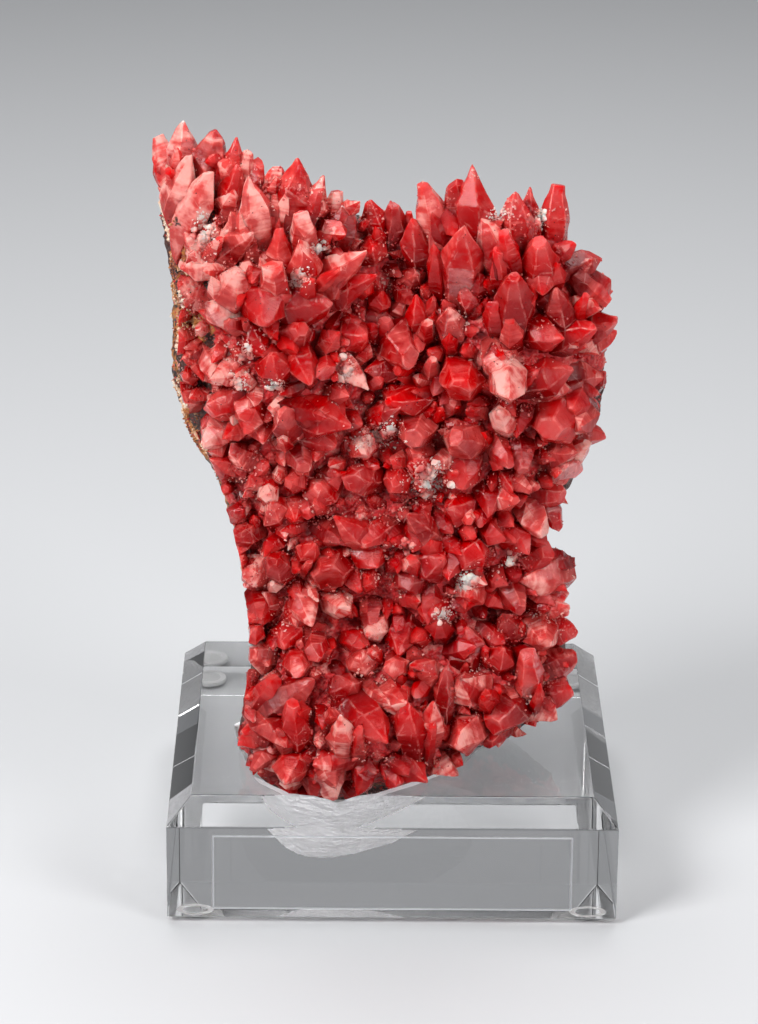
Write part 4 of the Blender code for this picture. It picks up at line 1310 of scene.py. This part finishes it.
    def weather(self, crystals: bpy.types.Object) -> None:
        """Makes facets and edges run a little uneven, as grown ones do.

        Args:
            crystals: The joined crystals, changed in place.
        """
        bm = bmesh.new()
        bm.from_mesh(crystals.data)
        for longest in (4.0, 2.4):
            long_edges = [edge for edge in bm.edges if edge.calc_length() > longest * MM]
            bmesh.ops.subdivide_edges(bm, edges=long_edges, cuts=1)
            bmesh.ops.triangulate(bm, faces=[face for face in bm.faces if len(face.verts) > 3])
        for vertex in bm.verts:
            spot = vertex.co / MM
            sway = noise.noise_vector(spot * 0.28) * 0.45 + noise.noise_vector(spot * 0.7) * 0.2
            vertex.co += sway * MM
        bm.to_mesh(crystals.data)
        bm.free()
        crystals.data.shade_smooth()
        crystals.data.set_sharp_from_angle(angle=math.radians(14.0))

    def flank(self, upper: float = 0.0, lower: float = 0.0) -> bmesh.types.BMesh:
        """Makes the body whose one wall is the flat broken flank on the left.

        Args:
            upper: How far the wall is moved in x where the ore is bare.
            lower: How far it is moved below that.

        Returns:
            Its mesh in millimetres.
        """
        bm = bmesh.new()
        wall = [(x + (upper if z > 104.0 else lower), z) for x, z in FLANK]
        front = bm.faces.new([bm.verts.new(self.face.on_sight_line(x, z, -120.0)) for x, z in wall])
        walls = bmesh.ops.extrude_face_region(bm, geom=[front])
        eye = Vector(self.face.viewpoint)
        for vertex in (item for item in walls["geom"] if isinstance(item, bmesh.types.BMVert)):
            vertex.co += (vertex.co - eye) * (200.0 / (vertex.co - eye).y)
        return bm

    def write_facts(self, crystals: bpy.types.Object, teeth: list[Tooth]) -> None:
        """Writes rise, milk and the bevelled edges (painted pale as worn frosting and painted glints) on the joined
        crystals for their material to read.

        Args:
            crystals: The joined crystals.
            teeth: Each crystal by its number.
        """
        mesh = crystals.data
        number = mesh.attributes[Layer.CRYSTAL.value]
        chip_and_glint = mesh.attributes[Layer.CHIP_AND_GLINT.value]
        facts = mesh.color_attributes.new(Layer.FACTS.value, "FLOAT_COLOR", "CORNER")
        mood = mesh.attributes[Layer.MOOD.value]
        for polygon in mesh.polygons:
            which = int(round(number.data[polygon.index].value))
            tooth = teeth[which]
            sway = mood.data[polygon.index].value * min(1.0, 0.2 + 2.0 * tooth.milk)
            milk = max(0.0, min(1.0, tooth.milk + sway))
            # 1 on bevelled faces, which are painted pale: worn frosting and painted glints.
            wear_and_glint = 1.0 if chip_and_glint.data[polygon.index].value > 0.5 else 0.0
            for loop in polygon.loop_indices:
                spot = mesh.vertices[mesh.loops[loop].vertex_index].co / MM
                facts.data[loop].color = (tooth.rise(spot), milk, wear_and_glint, (which * 0.618) % 1.0)

    def druse(self, workshop: Workshop, carriers: list[bpy.types.Object]) -> bpy.types.Object:
        """Makes the patches of tiny off-white crystals.

        Args:
            workshop: Where meshes become objects.
            carriers: What they grow on, still in the block's own frame.

        Returns:
            All of them as one piece.
        """
        dice = random.Random(31)
        trees = [self.search_tree(carrier) for carrier in carriers]
        grains = Grains()
        for x, z, reach_x, reach_z in PALE_PATCHES:
            for _ in range(int(3 + 0.5 * reach_x * reach_z)):
                at_x, at_z = dice.gauss(x, reach_x * 0.36), dice.gauss(z, reach_z * 0.36)
                hit = self.seen_from_front(trees, self.face.place(at_x, at_z, 0.0))
                if hit:
                    grains.mound(hit[0], hit[1], dice.uniform(0.5, 1.1), dice)
            for _ in range(int(10 + 11.0 * reach_x * reach_z)):
                at_x, at_z = dice.gauss(x, reach_x * 0.4), dice.gauss(z, reach_z * 0.4)
                self.grow(grains, trees, self.face.place(at_x, at_z, 0.0), dice.uniform(0.16, 0.4), -20.0, dice)
        return workshop.guide("pale_druse", grains.gathered())

    def sugar(self, workshop: Workshop, carriers: list[bpy.types.Object]) -> bpy.types.Object:
        """Makes the sugary fill of the clefts between the large crystals.

        Args:
            workshop: Where meshes become objects.
            carriers: What it grows on, still in the block's own frame.

        Returns:
            All of it as one piece.
        """
        dice = random.Random(43)
        trees = [self.search_tree(carrier) for carrier in carriers]
        grains = Grains()
        for _ in range(self.sugar_tries):
            at_x, at_z = dice.uniform(-56.0, 50.0), dice.uniform(24.0, 182.0)
            clump = noise.noise(Vector((at_x, 0.0, at_z)) * 0.13)
            if clump > -0.12:
                least = dice.uniform(0.5, 4.5) - 4.0 * clump
                self.grow(grains, trees, self.face.place(at_x, at_z, 0.0), dice.uniform(0.16, 0.42), least, dice)
        return workshop.guide("pink_druse", grains.gathered())

    def crust(self, workshop: Workshop, carriers: list[bpy.types.Object]) -> bpy.types.Object:
        """Makes the earthy grains on the bare flank.

        Args:
            workshop: Where meshes become objects.
            carriers: What they grow on, still in the block's own frame.

        Returns:
            All of them as one piece.
        """
        dice = random.Random(37)
        trees = [self.search_tree(carrier) for carrier in carriers]
        grains = Grains()
        eye = Vector((-620.0, -560.0, 260.0))
        for _ in range(4200):
            z = dice.uniform(101.0, 170.0)
            aim = self.face.place(-50.0, z, dice.uniform(0.0, 22.0))
            hit = self.first_hit(trees, eye, aim)
            if hit is None or hit[0].x > -38.0:
                continue
            behind = hit[0].y - self.face.depth(hit[0].x, hit[0].z - self.face.bottom)
            if noise.noise(hit[0] * 0.2) < -0.05 + 0.05 * abs(behind - 5.0):
                continue
            size = dice.uniform(0.2, 0.6)
            grains.add(hit[0], hit[1] + Vector((dice.gauss(0, 0.6), dice.gauss(0, 0.6), dice.gauss(0, 0.6))), size, dice)
        return workshop.guide("limonite_crust", grains.gathered())

    def search_tree(self, carrier: bpy.types.Object) -> bvhtree.BVHTree:
        """Returns a search tree of an object's surface, in millimetres."""
        spots = [vertex.co / MM for vertex in carrier.data.vertices]
        return bvhtree.BVHTree.FromPolygons(spots, [polygon.vertices for polygon in carrier.data.polygons])

    def grow(self, grains: Grains, trees: list, aim: Vector, size: float, least_depth: float, dice: random.Random) -> None:
        """Sets one grain where the sight line to a place meets a crystal or the rock.

        Args:
            grains: Gets the grain.
            trees: Search trees of what may carry it.
            aim: Where the sight line goes.
            size: The grain's radius.
            least_depth: How far behind the crystal face the spot has to be.
            dice: Source of randomness.
        """
        hit = self.seen_from_front(trees, aim)
        if hit is None or hit[0].y - self.face.depth(hit[0].x, hit[0].z - self.face.bottom) < least_depth:
            return
        grains.add(hit[0], hit[1] + Vector((dice.gauss(0, 0.5), dice.gauss(0, 0.5), dice.gauss(0, 0.5))), size, dice)

    def seen_from_front(self, trees: list, aim: Vector) -> tuple[Vector, Vector] | None:
        """Returns what the front sight line to a place meets first, as first_hit does."""
        return self.first_hit(trees, Vector(self.face.viewpoint), aim)

    def first_hit(self, trees: list, eye: Vector, aim: Vector) -> tuple[Vector, Vector] | None:
        """Finds what a line meets first.

        Args:
            trees: Search trees of the surfaces.
            eye: Where the line starts.
            aim: Where it goes.

        Returns:
            The spot and its normal, or nothing.
        """
        hits = [tree.ray_cast(eye, (aim - eye).normalized()) for tree in trees]
        hits = [hit for hit in hits if hit[0] is not None]
        return min(hits, key=lambda hit: hit[3])[:2] if hits else None

    def build(self, workshop: Workshop, keep_out: bpy.types.Object, seat_edge: bpy.types.Object) -> None:
        """Makes and dresses the rock, its crystals and the druse on them.

        Args:
            workshop: Where meshes become objects.
            keep_out: The block with its seat, grown by the clearance.
            seat_edge: What keeps the rock off the seat's rim.
        """
        rock = self.rock(workshop, keep_out, seat_edge)
        crystals = self.crystals(workshop, keep_out)
        druse = self.druse(workshop, [rock, crystals])
        sugar = self.sugar(workshop, [rock, crystals])
        crust = self.crust(workshop, [rock, crystals])
        workshop.finish(rock, [ManganeseRock().build()], "specimen")
        workshop.finish(crystals, [Rhodochrosite().build()], "specimen")
        pale = Druse("pale_druse", ("#CC4A48", "#E89A90", "#E2C2BA", "#DCD0C6"))
        pink = Druse("pink_druse", ("#9C0C12", "#C03030", "#D87068", "#E0A49A"))
        workshop.finish(druse, [pale.build()], "specimen")
        workshop.finish(sugar, [pink.build()], "specimen")
        workshop.finish(crust, [LimoniteCrust().build()], "specimen")


@dataclass
class BumperFoot:
    """A clear domed bumper under a corner of the block, whose adhesive wets the acrylic so that it shows from above."""

    name: str
    side_x: float
    side_y: float
    profile: tuple[tuple[float, float], ...] = (
        (0.0, 1.3), (2.7, 1.3), (3.2, 1.6), (4.4, 1.6), (4.5, 1.5), (4.7, 1.2), (4.75, 1.05), (4.7, 0.8), (4.4, 0.5), (3.6, 0.2), (2.6, 0.03),
        (2.3, 0.0), (0.0, 0.0),
    )
    reach: float = 47.4

    def build(self, workshop: Workshop) -> bpy.types.Object:
        """Makes the foot.

        Args:
            workshop: Where meshes become objects.

        Returns:
            The foot.
        """
        bm = bmesh.new()
        points = [bm.verts.new((radius, 0.0, height)) for radius, height in self.profile]
        line = [bm.edges.new(pair) for pair in zip(points, points[1:])]
        bmesh.ops.spin(
            bm, geom=points + line, cent=(0, 0, 0), axis=(0, 0, 1), angle=math.tau, steps=64, use_merge=True
        )
        bmesh.ops.remove_doubles(bm, verts=bm.verts, dist=0.0001)
        bmesh.ops.translate(bm, vec=(self.side_x * self.reach, self.side_y * self.reach, 0.0), verts=bm.verts)
        piece = workshop.guide(f"{self.name}_dome", bm)
        for polygon in piece.data.polygons:
            polygon.use_smooth = abs(polygon.normal.z) < 0.98
        return workshop.finish(piece, [BumperRubber().build()], self.name)


@dataclass
class Studio:
    """Pale sweep, soft lights and the camera."""

    middle: Vector
    lens: float = 139.4
    pitch: float = 20.60
    yaw: float = 0.49
    roll: float = 0.57
    distance: float = 974.6
    target: tuple[float, float, float] = (-3.56, 0.0, 84.1)

    def floor(self) -> bpy.types.Object:
        """Makes the pale paper: flat under the block, rising in a wide curve far behind it."""
        profile = [(-6.0, 0.0), (1.6, 0.0)]
        for step in range(1, 13):
            angle = math.radians(90.0) * step / 12.0
            profile.append((1.6 + 0.9 * math.sin(angle), 0.9 - 0.9 * math.cos(angle)))
        profile.append((2.5, 4.0))
        bm = bmesh.new()
        points = [bm.verts.new((-6.0, y, z)) for y, z in profile]
        line = [bm.edges.new(pair) for pair in zip(points, points[1:])]
        paper = bmesh.ops.extrude_edge_only(bm, edges=line)
        bmesh.ops.translate(bm, vec=(12.0, 0.0, 0.0), verts=[v for v in paper["geom"] if isinstance(v, bmesh.types.BMVert)])
        bmesh.ops.recalc_face_normals(bm, faces=bm.faces)
        mesh = bpy.data.meshes.new("studio_paper")
        bm.to_mesh(mesh)
        bm.free()
        mesh.shade_smooth()
        floor = bpy.data.objects.new("studio_paper", mesh)
        floor.data.materials.append(StudioSweep().build())
        bpy.context.scene.collection.objects.link(floor)
        return floor

    def soft_light(
        self, name: str, place: tuple[float, float, float], size: float, power: float,
        aim: tuple[float, float, float] = (0.0, -0.01, 0.1),
    ) -> None:
        """Hangs a square soft light.

        Args:
            name: Light's name.
            place: Where it hangs, in metres.
            size: Its side in metres.
            power: Watts.
            aim: What it faces.
        """
        lamp = bpy.data.lights.new(name, "AREA")
        lamp.shape = "SQUARE"
        lamp.size = size
        lamp.energy = power
        light = bpy.data.objects.new(name, lamp)
        light.location = place
        light.rotation_euler = (Vector(aim) - Vector(place)).to_track_quat("-Z", "Y").to_euler()
        bpy.context.scene.collection.objects.link(light)

    def surroundings(self) -> None:
        """Fills the room with dim even light."""
        world = bpy.data.worlds.new("studio")
        world.use_nodes = True
        background = world.node_tree.nodes["Background"]
        background.inputs["Color"].default_value = linear("#DADDE2")
        background.inputs["Strength"].default_value = 0.2
        bpy.context.scene.world = world

    def camera(self) -> bpy.types.Object:
        """Places the camera in front, looking a little down on the block."""
        pitch, yaw, roll = (math.radians(angle) for angle in (self.pitch, self.yaw, self.roll))
        forward = Vector((math.sin(yaw) * math.cos(pitch), math.cos(yaw) * math.cos(pitch), -math.sin(pitch)))
        right = Vector((math.cos(yaw), -math.sin(yaw), 0.0))
        up = right.cross(forward)
        turned_right = math.cos(roll) * right + math.sin(roll) * up
        turned_up = -math.sin(roll) * right + math.cos(roll) * up
        place = (Vector(self.target) - forward * self.distance + self.middle) * MM
        eye = bpy.data.cameras.new("camera")
        eye.lens = self.lens
        eye.sensor_width = 36.0
        eye.clip_end = 50.0
        camera = bpy.data.objects.new("camera", eye)
        camera.matrix_world = Matrix.Translation(place) @ Matrix((turned_right, turned_up, -forward)).transposed().to_4x4()
        bpy.context.scene.collection.objects.link(camera)
        bpy.context.scene.camera = camera
        return camera

    def build(self) -> None:
        """Sets the whole studio up."""
        self.floor()
        self.surroundings()
        self.soft_light("key_left", (-0.5, -0.5, 0.64), 0.34, 8.6)
        self.soft_light("fill_right", (0.8, -0.7, 0.55), 0.45, 7.5)
        self.soft_light("top_back", (0.0, 0.3, 1.0), 0.7, 9.0)
        self.soft_light("paper_glow", (0.0, 1.2, 0.9), 0.9, 5.0, aim=(0.0, 2.6, 0.9))
        self.camera()
        bpy.context.scene.view_settings.view_transform = "Standard"


def main() -> None:
    """Builds the specimen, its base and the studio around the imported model."""
    logging.basicConfig(level=logging.INFO, format="%(name)s: %(message)s")
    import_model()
    low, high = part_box("acrylic_base")
    block = DisplayBlock()
    middle = Vector(((low[0] + high[0]) / 2.0, (low[1] + high[1]) / 2.0, 0.0)) / MM
    guides = bpy.data.collections.new("guides")
    bpy.context.scene.collection.children.link(guides)
    workshop = Workshop(middle, guides)
    keep_out = workshop.guide("keep_out", block.body(block.clearance))
    workshop.cut(keep_out, workshop.guide("keep_out_seat", block.seat(block.clearance)))
    specimen = Specimen()
    seat_edge = workshop.guide("seat_edge", block.body(block.rim_shown * 0.6))
    workshop.cut(seat_edge, workshop.guide("seat_edge_bowl", block.seat(block.rim_shown)))
    specimen.build(workshop, keep_out, seat_edge)
    block.build(workshop)
    for depth, side_y in (("front", -1.0), ("back", 1.0)):
        for hand, side_x in (("left", -1.0), ("right", 1.0)):
            BumperFoot(f"foot_{depth}_{hand}", side_x, side_y).build(workshop)
    for guide in list(guides.all_objects):
        bpy.data.objects.remove(guide)
    for group in list(guides.children):
        bpy.data.collections.remove(group)
    bpy.data.collections.remove(guides)
    Studio(Vector((middle.x, middle.y, block.bottom))).build()
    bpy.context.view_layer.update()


if __name__ == "__main__":
    main()
